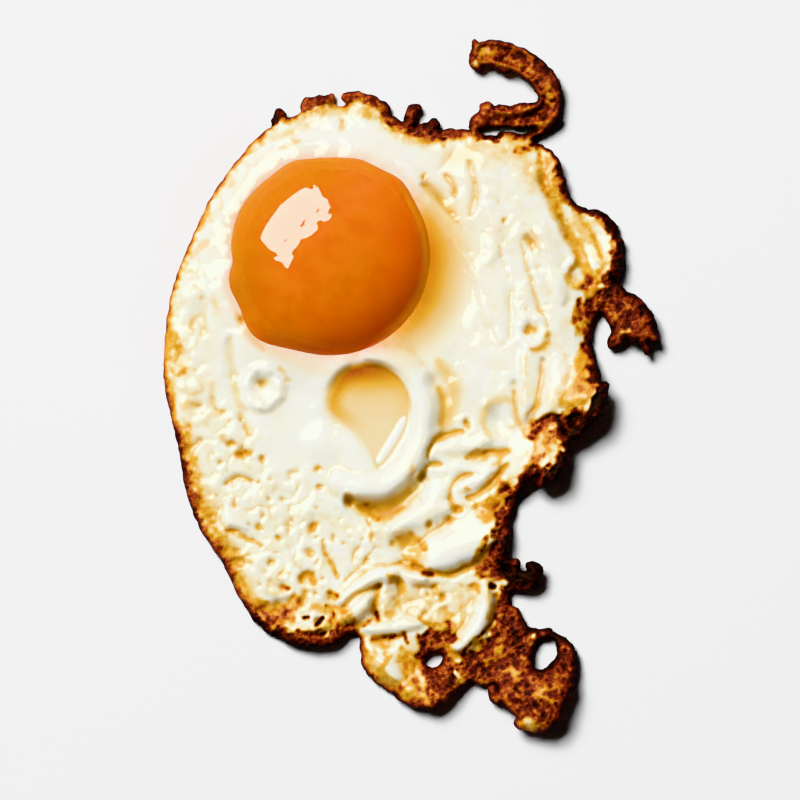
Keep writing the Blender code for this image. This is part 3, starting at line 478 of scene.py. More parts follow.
    ([(520, 640), (520, 665), (540, 690), (560, 684), (562, 655), (545, 634)], 20, 0.70, 0.45),
    ([(510, 606), (514, 622)], 6, 0.54, 0.9), ([(500, 645), (494, 662)], 6, 0.5, 1.0),
    ([(505, 664), (516, 676)], 7, 0.52, 1.0), ([(487, 580), (491, 600), (490, 616)], 4, 0.34, 1.0),
    ([(464, 648), (478, 636), (492, 620)], 4, 0.62, 0.9), ([(535, 690), (552, 682)], 8, 0.54, 1.0),
    ([(530, 722), (538, 728)], 9, 0.42, 0.9), ([(526, 718), (529, 720)], 4, 0.2, 0.9),
    ([(432, 690), (440, 694)], 6, 0.52, 1.0), ([(455, 664), (462, 672)], 7, 0.64, 1.0),
    ([(474, 640), (476, 646)], 4, 0.5, 0.9),
    ([(365, 650), (372, 668), (392, 690), (425, 702)], 14, 0.42, 1.0),
    ([(402, 648), (410, 668), (404, 690)], 13, 0.41, 1.0), ([(382, 678), (392, 682)], 8, 0.48, 0.9),
    ([(408, 660), (414, 676), (422, 690)], 10, 0.42, 0.8), ([(400, 686), (414, 696)], 8, 0.48, 1.0),
    ([(386, 660), (398, 672)], 8, 0.05, 0.8), ([(392, 654), (382, 668), (396, 684)], 3, 0.44, 0.9),
    ([(372, 640), (384, 637), (402, 635)], 6, 0.62, 1.0), ([(380, 642), (387, 646)], 4, 0.5, 1.0),
    ([(404, 632), (408, 642)], 5, 0.72, 1.0), ([(414, 648), (412, 640)], 4, 0.16, 0.9),
    ([(433, 587), (440, 596)], 4, 0.38, 1.0), ([(426, 594), (430, 596)], 4, 0.3, 1.0),
    ([(424, 611), (428, 613)], 4, 0.36, 1.0), ([(446, 614), (452, 616)], 8, 0.3, 1.0),
    ([(460, 606), (462, 620), (452, 630)], 6, 0.28, 1.0), ([(470, 586), (476, 587)], 4, 0.5, 0.9),
    ([(491, 585), (494, 586)], 4, 0.95, 0.8), ([(400, 598), (420, 606), (438, 612)], 15, 0.2, 1.0),
    ([(390, 614), (396, 604)], 6, 0.3, 1.0), ([(418, 600), (440, 622), (436, 628)], 5, 0.2, 1.0),
    ([(420, 617), (432, 624), (444, 624)], 3, 0.52, 0.9),
    ([(498, 638), (490, 654), (482, 668)], 7, 0.52, 1.0),
    ([(504, 652), (512, 670), (526, 680)], 7, 0.54, 1.0),
    ([(524, 668), (536, 690), (552, 700)], 6, 0.56, 1.0), ([(446, 646), (456, 654)], 5, 0.56, 1.0),
    ([(470, 650), (486, 670), (498, 690)], 4.5, 0.84, 0.9),
    ([(514, 686), (530, 698), (544, 716)], 4.5, 0.84, 0.9),
    ([(512, 628), (520, 646), (532, 660)], 4.5, 0.82, 0.9),
    ([(448, 662), (452, 678), (446, 696)], 5, 0.84, 0.9),
    # Burnt edges, with painted shadow: near black over the two skirts on the lower right.
    ([(582, 208), (600, 213), (612, 227), (619, 246), (617, 264), (609, 279)], 7, 1.0, 0.6),
    ([(634, 300), (646, 312), (654, 328), (654, 342)], 9, 0.86, 0.7),
    ([(606, 336), (616, 344), (630, 348)], 6, 0.8, 0.7),
    # Painted shadow: near black over the two skirts, where the lifted edge's shadow falls.
    ([(600, 390), (598, 408), (588, 426), (574, 438)], 12, 1.08, 0.4),
    ([(568, 452), (562, 468), (546, 482)], 12, 1.08, 0.4),
    ([(546, 627), (564, 636), (577, 654), (579, 676), (573, 696)], 6, 0.93, 0.6),
    ([(534, 56), (548, 68), (560, 86), (564, 106), (557, 124)], 5, 0.93, 0.6),
]

# Gold seen through clear, smooth white, deepened under the pool's rolled rim as painted shade:
# line, reach, level, softness. None of these wander.
GLOWS = [
    ([(478, 146), (462, 156), (452, 160)], 20, 0.21, 1.0),
    ([(270, 352), (300, 364), (330, 372)], 14, 0.10, 1.0),
    ([(264, 350), (247, 330), (238, 314)], 9, 0.17, 1.0),
    ([(424, 186), (438, 200), (456, 222)], 13, 0.27, 1.0),
    ([(438, 362), (452, 384), (451, 408), (442, 430)], 17, 0.23, 1.0),
    ([(438, 388), (445, 405), (441, 424)], 10, 0.28, 1.0),
    # Under the rolled rim: gold, deepened as painted shade on the moat's slope turned from the light.
    ([(350, 500), (376, 508), (402, 499), (419, 478)], 17, 0.30, 1.0),
    ([(360, 507), (380, 515), (402, 507)], 10, 0.42, 1.0), ([(412, 466), (414, 490)], 9, 0.22, 1.0),
    ([(404, 540), (416, 552), (410, 562)], 17, 0.26, 0.9),
]

# Painted light on the clear white at the yolk's lower side: a golden glow of light through the
# yolk, darkest next to the yolk as painted shade. Browning at so many millimetres from the yolk's
# edge, and how much of it there is in each direction, in degrees.
YOLK_PAINTED_GLOW = [
    (0.0, 0.43), (0.8, 0.41), (1.6, 0.37), (2.8, 0.31), (4.0, 0.26), (5.6, 0.21), (7.2, 0.15),
    (8.8, 0.10), (10.4, 0.06), (13.0, 0.03),
]
YOLK_PAINTED_GLOW_SIDE = [
    (-75, 0.0), (-62, 0.3), (-48, 0.72), (-36, 0.9), (-25, 1.0), (5, 1.0), (20, 0.8), (34, 0.4),
    (46, 0.0),
]

# Where the camera looks, how high it hangs and how wide it sees, in metres, and its sensor's width
# in millimetres.
CAMERA_OVER = (400, 400)
CAMERA_HEIGHT = 0.8
VIEW_WIDTH = 0.16
SENSOR_WIDTH = 36

# The softboxes: azimuth and elevation in degrees, distance, width and height in metres, watts.
KEY_SOFTBOX = (127, 52, 2.6, 1.2, 0.96, 117)
SHEEN_SOFTBOX = (136, 52, 0.8, 0.78, 0.58, 58)
SHEEN_TINT = (0.93, 1.0, 0.8)
STUDIO_GLOW = 0.03

# The pale floor: its colour, half its width in metres, and how far it lies below the plate level.
FLOOR_COLOUR = (0.81, 0.81, 0.817, 1)
FLOOR_HALF = 2.0
FLOOR_DROP = 0.0001


def plan(across, down):
    """Drawing units to millimetres from the middle of the yolk."""
    return (across - YOLK_AT[0]) * UNIT, (YOLK_AT[1] - down) * UNIT


def catmull_rom(a, b, c, d, t):
    """The point at t, from 0 to 1, between b and c on a smooth line through a, b, c and d."""
    return 0.5 * (
        2 * b + (c - a) * t + (2 * a - 5 * b + 4 * c - d) * t**2 + (3 * b - a - 3 * c + d) * t**3
    )


def smooth_loop(points, steps):
    """A closed smooth line through the points."""
    given = [np.array(p, float) for p in points]
    count = len(given)
    return np.array([
        catmull_rom(given[i - 1], given[i], given[(i + 1) % count], given[(i + 2) % count], k / steps)
        for i in range(count) for k in range(steps)
    ])


def smooth_line(points, steps=5):
    """An open smooth line through the points."""
    if len(points) < 3:
        return np.array(points, float)
    given = [np.array(p, float) for p in points]
    given = [2 * given[0] - given[1]] + given + [2 * given[-1] - given[-2]]
    line = [
        catmull_rom(given[i - 1], given[i], given[i + 1], given[i + 2], k / steps)
        for i in range(1, len(given) - 2) for k in range(steps)
    ]
    return np.array(line + [given[-2]])


def smoothstep(low, high, value):
    """0 at low, 1 at high, and smooth between them."""
    share = np.clip((value - low) / (high - low), 0, 1)
    return share * share * (3 - 2 * share)


def bump(distance, reach):
    """A smooth hill of height 1 that ends exactly at its reach."""
    return np.clip(1 - (distance / reach) ** 2, 0, 1) ** 2


def lattice(i, j, seed):
    """A fixed random number from 0 to 1 for each whole place."""
    value = np.sin(i * 127.1 + j * 311.7 + seed * 74.7) * 43758.5453
    return value - np.floor(value)


def ripple(x, y, wave, seed):
    """Smooth noise from about -1 to 1 that varies over each wave of millimetres."""
    c, s = math.cos(seed), math.sin(seed)
    u, v = (x * c - y * s) / wave, (x * s + y * c) / wave
    i, j = np.floor(u), np.floor(v)
    du, dv = u - i, v - j
    ease_u = du**3 * (du * (6 * du - 15) + 10)
    ease_v = dv**3 * (dv * (6 * dv - 15) + 10)

    def corner(a, b):
        turn = lattice(i + a, j + b, seed) * math.tau
        return np.cos(turn) * (du - a) + np.sin(turn) * (dv - b)

    low = corner(0, 0) * (1 - ease_u) + corner(1, 0) * ease_u
    high = corner(0, 1) * (1 - ease_u) + corner(1, 1) * ease_u
    return 1.5 * (low * (1 - ease_v) + high * ease_v)


def bubbles(x, y, wave, seed):
    """(distance to the nearest of one scattered point a wave, in waves; that point's own number)."""
    u, v = x / wave, y / wave
    i, j = np.floor(u), np.floor(v)
    nearest = np.full(np.shape(x), 9.0)
    own = np.zeros(np.shape(x))
    for a in (-1, 0, 1):
        for b in (-1, 0, 1):
            point_u = i + a + lattice(i + a, j + b, seed)
            point_v = j + b + lattice(i + a, j + b, seed + 5)
            away = np.hypot(point_u - u, point_v - v)
            closer = away < nearest
            nearest = np.where(closer, away, nearest)
            own = np.where(closer, lattice(i + a, j + b, seed + 9), own)
    return nearest, own


def distance_along(x, y, line):
    """How far each place is from an open line, less its half width if it has one, and its share along it."""
    nearest = np.full(np.shape(x), np.inf)
    share = np.zeros(np.shape(x))
    for k, (a, b) in enumerate(zip(line[:-1], line[1:])):
        ahead = b[:2] - a[:2]
        along = np.clip(((x - a[0]) * ahead[0] + (y - a[1]) * ahead[1]) / max(ahead @ ahead, 1e-9), 0, 1)
        away = np.hypot(x - a[0] - along * ahead[0], y - a[1] - along * ahead[1])
        if len(a) > 2:
            away = away - (a[2] + along * (b[2] - a[2]))
        share = np.where(away < nearest, (k + along) / (len(line) - 1), share)
        nearest = np.minimum(nearest, away)
    return nearest, share


class Drawing:
    """The flat grid that the white is laid out on, with one array for each thing drawn on it."""

    def __init__(self):
        self.across = np.arange(GRID_X[0], GRID_X[1], GRID)
        self.up = np.arange(GRID_Y[0], GRID_Y[1], GRID)
        self.x, self.y = np.meshgrid(self.across, self.up)
        self.bent_x = self.x + 0.38 * ripple(self.x, self.y, 3.8, 1)
        self.bent_x += 0.11 * ripple(self.x, self.y, 1.4, 2)
        self.bent_y = self.y + 0.38 * ripple(self.x, self.y, 3.8, 6)
        self.bent_y += 0.11 * ripple(self.x, self.y, 1.4, 7)

    def window(self, line, reach):
        """The part of the grid within reach of the line."""
        low, high = line[:, :2].min(0) - reach, line[:, :2].max(0) + reach
        rows = slice(*np.searchsorted(self.up, (low[1], high[1])))
        columns = slice(*np.searchsorted(self.across, (low[0], high[0])))
        return rows, columns

    def near(self, marks, reach, wander=True):
        """(window, how far each place in it is from a line of marks, in reaches).

        The line looks drawn by hand: it wanders a little unless told not to, and thins towards its ends.
        """
        line = smooth_line([plan(*mark) for mark in marks])
        area = self.window(line, 1.2 * reach + 0.6)
        x, y = (self.bent_x, self.bent_y) if wander else (self.x, self.y)
        away, share = distance_along(x[area], y[area], line)
        long = np.hypot(*np.diff(line, axis=0).T).sum() > 2.5 * reach
        full = 0.55 + 0.45 * np.sqrt(np.clip(4 * share * (1 - share), 0, 1)) if long else 1
        return area, away / (reach * full)

    def sample(self, field, x, y):
        """The field's value at any place, from the four grid points round it."""
        u = np.clip((x - self.across[0]) / GRID, 0, len(self.across) - 1.001)
        v = np.clip((y - self.up[0]) / GRID, 0, len(self.up) - 1.001)
        i, j = u.astype(int), v.astype(int)
        du, dv = u - i, v - j
        low = field[j, i] * (1 - du) + field[j, i + 1] * du
        high = field[j + 1, i] * (1 - du) + field[j + 1, i + 1] * du
        return low * (1 - dv) + high * dv


def blurred(field, times):
    """The field softened by averaging each place with its neighbours."""
    for _ in range(times):
        wide = np.pad(field, 1, mode="edge")
        field = (wide[:-2, 1:-1] + wide[2:, 1:-1] + wide[1:-1, :-2] + wide[1:-1, 2:] + 4 * field) / 8
    return field


def yolk_reach(angle, bulge=1.0, corners=YOLK_CORNERS):
    """How far the yolk's edge is from its middle in each direction."""
    turn = np.degrees(angle) % 360
    reach = np.full(np.shape(angle), YOLK_RADIUS, float)
    for direction, spread, out in YOLK_BULGES + corners:
        off = (turn - direction + 180) % 360 - 180
        reach += bulge * out * np.exp(-((off / spread) ** 2))
    return reach


def loop_distance(x, y, loop):
    """How far each place is outside a closed loop, negative inside."""
    outside = np.full(x.shape, np.inf)
    inside = np.zeros(x.shape, bool)
    for a, b in zip(loop, np.roll(loop, -1, axis=0)):
        ahead = b - a
        along = np.clip(((x - a[0]) * ahead[0] + (y - a[1]) * ahead[1]) / (ahead @ ahead), 0, 1)
        away = np.hypot(x - a[0] - along * ahead[0], y - a[1] - along * ahead[1])
        outside = np.minimum(outside, away)
        if a[1] != b[1]:
            crossing = a[0] + (y - a[1]) * ahead[0] / ahead[1]
            inside ^= ((a[1] > y) != (b[1] > y)) & (x < crossing)
    return np.where(inside, -outside, outside)


def outline_distance(sheet):
    """How far each grid point is outside the egg, negative inside."""
    outside = loop_distance(sheet.x, sheet.y, smooth_loop(BODY_EDGE, 6))
    for crisp in CRISPS:
        line = smooth_line(crisp)
        area = sheet.window(line, 9)
        away, _ = distance_along(sheet.x[area], sheet.y[area], line)
        mix = np.clip(0.5 + 0.5 * (away - outside[area]) / 0.5, 0, 1)
        outside[area] = away * (1 - mix) + outside[area] * mix - 0.5 * mix * (1 - mix)
    return outside


def hole_distance(sheet):
    """How far each grid point is outside every hole, negative inside one."""
    outside = np.full(sheet.x.shape, np.inf)
    for x, y, length, width, turn in HOLES:
        c, s = math.cos(math.radians(turn)), math.sin(math.radians(turn))
        u = ((sheet.x - x) * c + (sheet.y - y) * s) / length
        v = ((sheet.y - y) * c - (sheet.x - x) * s) / width
        outside = np.minimum(outside, (np.hypot(u, v) - 1) * min(length, width))
    return outside


def depth_from_edge(inside, most):
    """How far each grid point inside is from the nearest one outside, up to most millimetres."""
    cells = int(most / GRID) + 1
    depth = np.full(inside.shape, float(most))
    wide = np.pad(~inside, cells, constant_values=True)
    rows, columns = inside.shape
    for i in range(-cells, cells + 1):
        for j in range(-cells, cells + 1):
            away = math.hypot(i, j) * GRID
            if away <= most:
                out = wide[cells + i : cells + i + rows, cells + j : cells + j + columns]
                depth = np.where(out & (depth > away), away, depth)
    return np.maximum(blurred(np.maximum(depth - 0.5 * GRID, 0) * inside, 1), 0)


def pool_area(sheet):
    """How far each grid point is outside the pool's edge, and how far below the pool's upper end."""
    outside = loop_distance(sheet.x, sheet.y, smooth_loop([plan(*mark) for mark in POOL_EDGE], 4))
    x, y = plan(*POOL_TOP)
    return outside, np.hypot(0.6 * (sheet.x - x), np.minimum(sheet.y - y, 0))


def edge_browning(sheet, depth):
    """The browning that creeps in from the rim, as far and as dark as the nearest marks say."""
    weight = np.full(sheet.x.shape, 1e-12)
    reach = np.zeros(sheet.x.shape)
    level = np.zeros(sheet.x.shape)
    for across, down, inwards, dark in EDGE_BROWN:
        x, y = plan(across, down)
        near = np.exp(-((sheet.x - x) ** 2 + (sheet.y - y) ** 2) / (EDGE_BLEND * UNIT) ** 2)
        weight += near
        reach += near * inwards * UNIT
        level += near * dark
    uneven = 1 + 0.6 * ripple(sheet.x, sheet.y, 3.1, 3) + 0.45 * ripple(sheet.x, sheet.y, 1.2, 4)
    share = np.clip(1 - depth / np.maximum(reach / weight * uneven, 0.25), 0, 1)
    fitful = 0.16 * ripple(sheet.x, sheet.y, 4.2, 5) + 0.12 * ripple(sheet.x, sheet.y, 1.4, 9) - 0.06
    return np.clip(level / weight + fitful, 0.3, 1), share


def draw_browning(sheet, depth, calm, froth):
    """How browned every place is, with painted shade, glow and highlight laid in too."""
    x, y = sheet.x, sheet.y
    browning_and_painted_light = 0.03 + 0.03 * ripple(x, y, 7, 11)
    browning_and_painted_light += (0.012 + 0.045 * froth) * (1 - calm) * (0.8 + 0.9 * ripple(x, y, 3.4, 18))
    level, share = edge_browning(sheet, depth)
    heavy = smoothstep(2, 22, x) * smoothstep(34, 24, y) + smoothstep(-64, -74, y) + smoothstep(26, 32, x)
    heavy = np.clip(heavy, 0, 1)
    edge = level * (heavy * (1 - (1 - share) ** 1.8) + (1 - heavy) * share**1.15)
    browning_and_painted_light += 0.13 * smoothstep(0.1, 0.6, ripple(x, y, 2.8, 15)) * smoothstep(9, 2, depth) * (1 - calm)
    browning_and_painted_light = np.maximum(browning_and_painted_light, edge)
    wobble = 1 + 0.35 * ripple(x, y, 1.4, 12) + 0.25 * ripple(x, y, 3.2, 16)
    patchy = 0.98 + 0.42 * ripple(x, y, 2.6, 17) + 0.42 * ripple(x, y, 1.1, 20)
    for marks, reach, target, soft in GLOWS:
        area, away = sheet.near(marks, reach * UNIT, wander=False)
        browning_and_painted_light[area] += (target - browning_and_painted_light[area]) * smoothstep(0, soft, 1 - away)
    # Painted light: a golden glow below the yolk, darkest next to its edge as painted shade.
    away, angle = np.hypot(x, y), np.arctan2(y, x)
    gold_and_painted_light = np.interp(away - yolk_reach(angle), *np.transpose(YOLK_PAINTED_GLOW))
    browning_and_painted_light = np.maximum(browning_and_painted_light, gold_and_painted_light * np.interp(np.degrees(angle), *np.transpose(YOLK_PAINTED_GLOW_SIDE)))
    # The pool: gold under the gel, darkest at its upper end as painted shade.
    pool, below = pool_area(sheet)
    leftward = smoothstep(11, -1, x)
    gold_and_painted_light = np.interp(below, *np.transpose(POOL_GOLD_AND_PAINTED_SHADE))
    gold_and_painted_light += (0.05 + 0.13 * leftward) * smoothstep(-4.5, -1, pool) * smoothstep(15, 9, below)
    hazy = 0.4 + 1.1 * leftward
    browning_and_painted_light += (gold_and_painted_light - browning_and_painted_light) * smoothstep(hazy, -hazy, pool)
    # Painted highlight: the browning is taken out along a stripe across the pool.
    area, away = sheet.near(POOL_GLINT, POOL_GLINT_REACH * UNIT, wander=False)
    browning_and_painted_light[area] *= 1 - smoothstep(0, 0.5, 1 - away)
    for marks, reach, target, soft in BROWNED:
        fine = reach < 6 and target < 0.6
        area, away = sheet.near(marks, reach * UNIT * (1.75 if fine else 1))
        cover = smoothstep(0, soft, 1 - away * wobble[area])
        if fine:
            least, most = 0.35, 0.8
        elif target > 0.6:
            least, most = 0.84, 1.12
        else:
            least, most = 0.72, 1.26
        aim = target * np.clip(patchy[area], least, most)
        browning_and_painted_light[area] += (aim - browning_and_painted_light[area]) * cover
    return np.clip(np.maximum(browning_and_painted_light, edge * smoothstep(0.1, 0.35, share)), 0, 1)


def brown_and_shade_by_relief(sheet, browning_and_painted_light, top, inside, calm, froth):
    """Fat and heat gather in the hollows: more browning there, partly as painted shade. In the
    crust, painted shade darkens the pits and painted light brightens the crests.
    """
    level = np.where(inside, top, 0)
    covered = inside.astype(float)
    near = blurred(level, 5) / np.maximum(blurred(covered, 5), 0.1)
    share = np.maximum(blurred(covered, 24), 0.1)
    wide = blurred(level, 24) / share
    hollow = (near - level) + 0.4 * np.clip(wide - level, -0.6, 0.8) * smoothstep(0.6, 0.95, share)
    crust = smoothstep(0.42, 0.62, browning_and_painted_light)
    # Hollows in the pale white take more browning, partly as painted shade.
    soft = np.clip(hollow - 0.02, 0, 0.5) * (0.7 + 0.3 * froth)
    soft = soft * np.clip(1 - browning_and_painted_light / 0.42, 0, 1) * (1 - 0.8 * calm)
    # In the crust, painted shade darkens the pits and painted light brightens the crests.
    crisp = np.clip(hollow, -0.35, 0.5) * 0.3
    pale = 0.15 * smoothstep(0.25, 0.6, ripple(sheet.x, sheet.y, 1.5, 13))
    dark = 0.08 * smoothstep(0.25, 0.6, ripple(sheet.x, sheet.y, 1.3, 19))
    flecks = 0.06 * ripple(sheet.x, sheet.y, 0.8, 14)
    flecks -= pale * smoothstep(0.56, 0.64, browning_and_painted_light) * smoothstep(0.9, 0.75, browning_and_painted_light)
    flecks += dark * smoothstep(0.5, 0.62, browning_and_painted_light)
    return np.clip(browning_and_painted_light + (1 - crust) * soft + crust * (crisp + flecks), 0, 1)


def area_mask(sheet, marks_list):
    """The strongest of several soft brushes at each place."""
    mask = np.zeros(sheet.x.shape)
    for marks, reach, *strength in marks_list:
        area, away = sheet.near(marks, reach * UNIT)
        cover = smoothstep(0, 0.6, 1 - away) * (strength[0] if strength else 1)
        mask[area] = np.maximum(mask[area], cover)
    return mask


def draw_relief(sheet, calm, froth):
    """Folds, hollows and froth, as a height to add to the white."""
    x, y = sheet.x, sheet.y
    height = np.zeros(x.shape)
    for marks, reach, rise in FOLDS:
        area, away = sheet.near(marks, reach * UNIT * 1.25)
        height[area] += rise * bump(away, 1)
    for across, down, half_width, half_height, depth in HOLLOWS:
        cx, cy = plan(across, down)
        sideways = (sheet.bent_x - cx) / (half_width * UNIT)
        upwards = (sheet.bent_y - cy) / (half_height * UNIT)
        height -= depth * bump(np.hypot(sideways, upwards), 1.25)
    for across, down, radius, reach, rise in LIPS:
        cx, cy = plan(across, down)
        ring = np.hypot(sheet.bent_x - cx, sheet.bent_y - cy) - radius * UNIT
        height += rise * (0.8 + 0.5 * ripple(x, y, 2.2, 8)) * bump(ring, reach * UNIT)
    lively = 1 - 0.85 * calm
    swirl_x = x + 1.3 * ripple(x, y, 5, 25) + 0.4 * ripple(x, y, 2, 27)
    swirl_y = y + 1.3 * ripple(x, y, 5, 26) + 0.4 * ripple(x, y, 2, 28)
    uneven = lively * (0.25 * ripple(x, y, 5.5, 21) + 0.12 * ripple(x, y, 2.6, 22))
    height += uneven + 0.06 * ripple(x, y, 7.5, 24)
    lumps = np.abs(ripple(swirl_x, swirl_y, 4.6, 29)) ** 0.8
    lumps += 0.5 * np.abs(ripple(swirl_x, swirl_y, 2.1, 30)) ** 0.8
    height += (0.25 + 0.75 * froth) * lively * 0.72 * (lumps - 0.4)
    for wave, depth, seed, share in FROTH_BUBBLES:
        away, own = bubbles(swirl_x, swirl_y, wave, seed)
        size = 0.12 + 0.16 * own
        dimple = 0.25 * bump(away - size * 1.2, size * 0.7) - bump(away, size)
        height += froth * lively * depth * dimple * (own > share)
    return blurred(height, 2)


def draw_crust(x, y):
    """The crags of the crisp edge, from about -0.5 to 1 millimetre."""
    ridges = 1 - 2 * np.abs(ripple(x, y, 2.6, 41))
    fine = 1 - 2 * np.abs(ripple(x, y, 1.0, 42))
    away, own = bubbles(x, y, 1.9, 43)
    pits = bump(away, 0.18 + 0.22 * own) * (own > 0.3)
    return 0.38 * ridges + 0.38 * fine - 0.5 * pits + 0.3 * ripple(x, y, 0.7, 45)


def draw_lift(x, y):
    """How far the underside has risen off the plate."""
    rise = np.zeros(np.shape(x))
    for cx, cy, radius, height in LIFTS:
        rise += height * bump(np.hypot(x - cx, y - cy), radius)
    return rise


def socket_floor(x, y):
    """The yolk's lower side, which the white under it can't rise above."""
    away, angle = np.hypot(x, y), np.arctan2(y, x)
    around = np.clip(away / yolk_reach(angle), 0, 1) ** (1 / YOLK_SQUARENESS)
    floor = YOLK_WIDEST_Z - YOLK_DROP * (1 - around**2) ** (YOLK_SQUARENESS / 2)
    return np.where(around >= 1, 99, floor)


def draw_white(sheet):
    """Every layer of the drawing: where the egg is, its heights and its finish."""
    x, y = sheet.x, sheet.y
    rough = outline_distance(sheet)
    crisp_side = smoothstep(-8, 12, x) + smoothstep(18, 26, y) + smoothstep(-66, -76, y)
    fray = 0.16 + 0.2 * np.clip(crisp_side, 0, 1)
    for cx, cy, reach in RAGGED:
        fray += 0.3 * bump(np.hypot(x - cx, y - cy), reach)
    teeth = fray * (ripple(x, y, 1.9, 51) + 0.8 * np.abs(ripple(x, y, 1.0, 52)) - 0.35)
    outside = np.maximum(rough + teeth, -(hole_distance(sheet) + 0.5 * teeth))
    inside = outside < 0
    depth = depth_from_edge(inside, 9)
    gel = area_mask(sheet, GEL)
    calm = area_mask(sheet, CALM)
    froth = area_mask(sheet, FROTHY)
    # Browning, with painted shade, glow and highlight laid into the same values.
    browning_and_painted_light = draw_browning(sheet, depth, calm, froth)
    pool, _ = pool_area(sheet)
    crust = smoothstep(0.42, 0.66, browning_and_painted_light) * smoothstep(0, 1, pool)
    away, angle = np.hypot(x, y), np.arctan2(y, x)
    past_yolk = np.maximum(away - yolk_reach(angle), 0)
    leeward = 0.5 + 0.5 * np.cos(angle - COLLAR_LOW_SIDE)
    collar = COLLAR_HEIGHT * (1 - 0.85 * leeward) * bump(past_yolk, COLLAR_WIDTH * 1.6)
    relief = draw_relief(sheet, calm, froth)
    full = WHITE_THICKNESS + collar + relief
    full += (POOL_LEVEL - full) * smoothstep(1.2, -0.9, pool)
    area, away = sheet.near(POOL_GLINT, POOL_GLINT_REACH * UNIT, wander=False)
    full[area] += 0.3 * bump(away, 1)
    rim_width = 4.2 - 2.6 * np.clip(blurred(crust, 4) * 1.5, 0, 1)
    rise = np.sqrt(np.clip(1 - (1 - np.clip(depth / rim_width, 0, 1)) ** 2, 0, 1))
    thickness = RIM_THICKNESS + rise * (full - RIM_THICKNESS) * (1 - 0.3 * crust)
    thickness += crust * draw_crust(x, y) * smoothstep(0, 0.7, depth)
    thickness += ribbon_channel(sheet)
    thickness = np.maximum(thickness, LEAST_THICKNESS)
    bottom = draw_lift(x, y)
    top = bottom + thickness
    top = np.minimum(top, socket_floor(x, y) + 0.15)
    browning_and_painted_light = brown_and_shade_by_relief(sheet, browning_and_painted_light, top, inside, calm, froth)
    # Painted light: a glow on the white beside the yolk, weaker on the collar's low side.
    glow = bump(past_yolk, 2.6) * (1 - leeward)
    return {
        "outside": outside, "depth": depth, "bottom": bottom, "top": top, "browning_and_painted_light": browning_and_painted_light, "gel": gel,
        "crust": crust, "glow": glow,
    }


def ribbon_channel(sheet):
    """The sunken middle of the curl, between its raised rims."""
    line = smooth_line(CURL)
    area = sheet.window(line, 4)
    away, _ = distance_along(sheet.x[area], sheet.y[area], line)
    out = np.zeros(sheet.x.shape)
    past_root = smoothstep(31, 34, sheet.x[area] + 0.5 * np.maximum(sheet.y[area] - 34, 0))
    out[area] = (0.5 * bump(away + 0.5, 0.6) - 1.25 * smoothstep(-0.5, -1.5, away)) * past_root
    return out


def largest_region(cells):
    """The cells that join up with the middle of the egg."""
    reached = np.zeros(cells.shape, bool)
    middle = (int((-20 - GRID_Y[0]) / GRID), int((10 - GRID_X[0]) / GRID))
    reached[middle] = True
    while True:
        wide = np.pad(reached, 1)
        grown = (wide[:-2, 1:-1] | wide[2:, 1:-1] | wide[1:-1, :-2] | wide[1:-1, 2:] | reached) & cells
        if (grown == reached).all():
            return reached
        reached = grown


def kept_cells(outside):
    """The grid cells that make up the sheet, with no two that meet only at a corner."""
    near = outside < 0.35 * GRID
    cells = largest_region(near[:-1, :-1] & near[1:, :-1] & near[:-1, 1:] & near[1:, 1:])
    while True:
        a, b, c, d = cells[:-1, :-1], cells[:-1, 1:], cells[1:, :-1], cells[1:, 1:]
        falling = a & d & ~b & ~c
        rising = b & c & ~a & ~d
        if not falling.any() and not rising.any():
            return largest_region(cells)
        cells[1:, 1:] &= ~falling
        cells[1:, :-1] &= ~rising


def settled_places(sheet, outside, used, rim):
    """The sheet's points, with those on the rim moved onto the outline and their neighbours eased."""
    x, y = sheet.x.copy(), sheet.y.copy()
    slope_y, slope_x = np.gradient(outside, GRID)
    for _ in range(3):
        value = sheet.sample(outside, x[rim], y[rim])
        gx, gy = sheet.sample(slope_x, x[rim], y[rim]), sheet.sample(slope_y, x[rim], y[rim])
        steep = np.maximum(gx**2 + gy**2, 0.3)
        x[rim] -= np.clip(value * gx / steep, -0.5 * GRID, 0.5 * GRID)
        y[rim] -= np.clip(value * gy / steep, -0.5 * GRID, 0.5 * GRID)
    beside = blurred(rim.astype(float), 2) > 0
    for _ in range(3):
        for values in (x, y):
            wide = np.pad(values, 1, mode="edge")
            mean = (wide[:-2, 1:-1] + wide[2:, 1:-1] + wide[1:-1, :-2] + wide[1:-1, 2:]) / 4
            move = beside & used & ~rim
            values[move] = mean[move]
    return x, y


def rim_sides(cells, corners):
    """The sides of kept cells with no kept cell beyond them, each as a pair of point numbers."""
    a, b, c, d = corners
    wide = np.pad(cells, 1)
    sides = []
    for start, end, beyond in (
        (a, b, wide[:-2, 1:-1]), (b, c, wide[1:-1, 2:]), (c, d, wide[2:, 1:-1]), (d, a, wide[1:-1, :-2]),
    ):
        open_side = cells & ~beyond
        sides.append(np.stack([start[open_side], end[open_side]], axis=1))
    return np.concatenate(sides)


def tucked_rim(sheet, layers, x, y):
    """The underside's rim: below the top's, on the underside's height, and set in a little."""
    slope_y, slope_x = np.gradient(layers["outside"], GRID)
    gx, gy = sheet.sample(slope_x, x, y), sheet.sample(slope_y, x, y)
    steep = np.maximum(np.hypot(gx, gy), 0.5)
    low = sheet.sample(layers["bottom"], x, y)
    return np.column_stack([x - RIM_TUCK * gx / steep, y - RIM_TUCK * gy / steep, low])


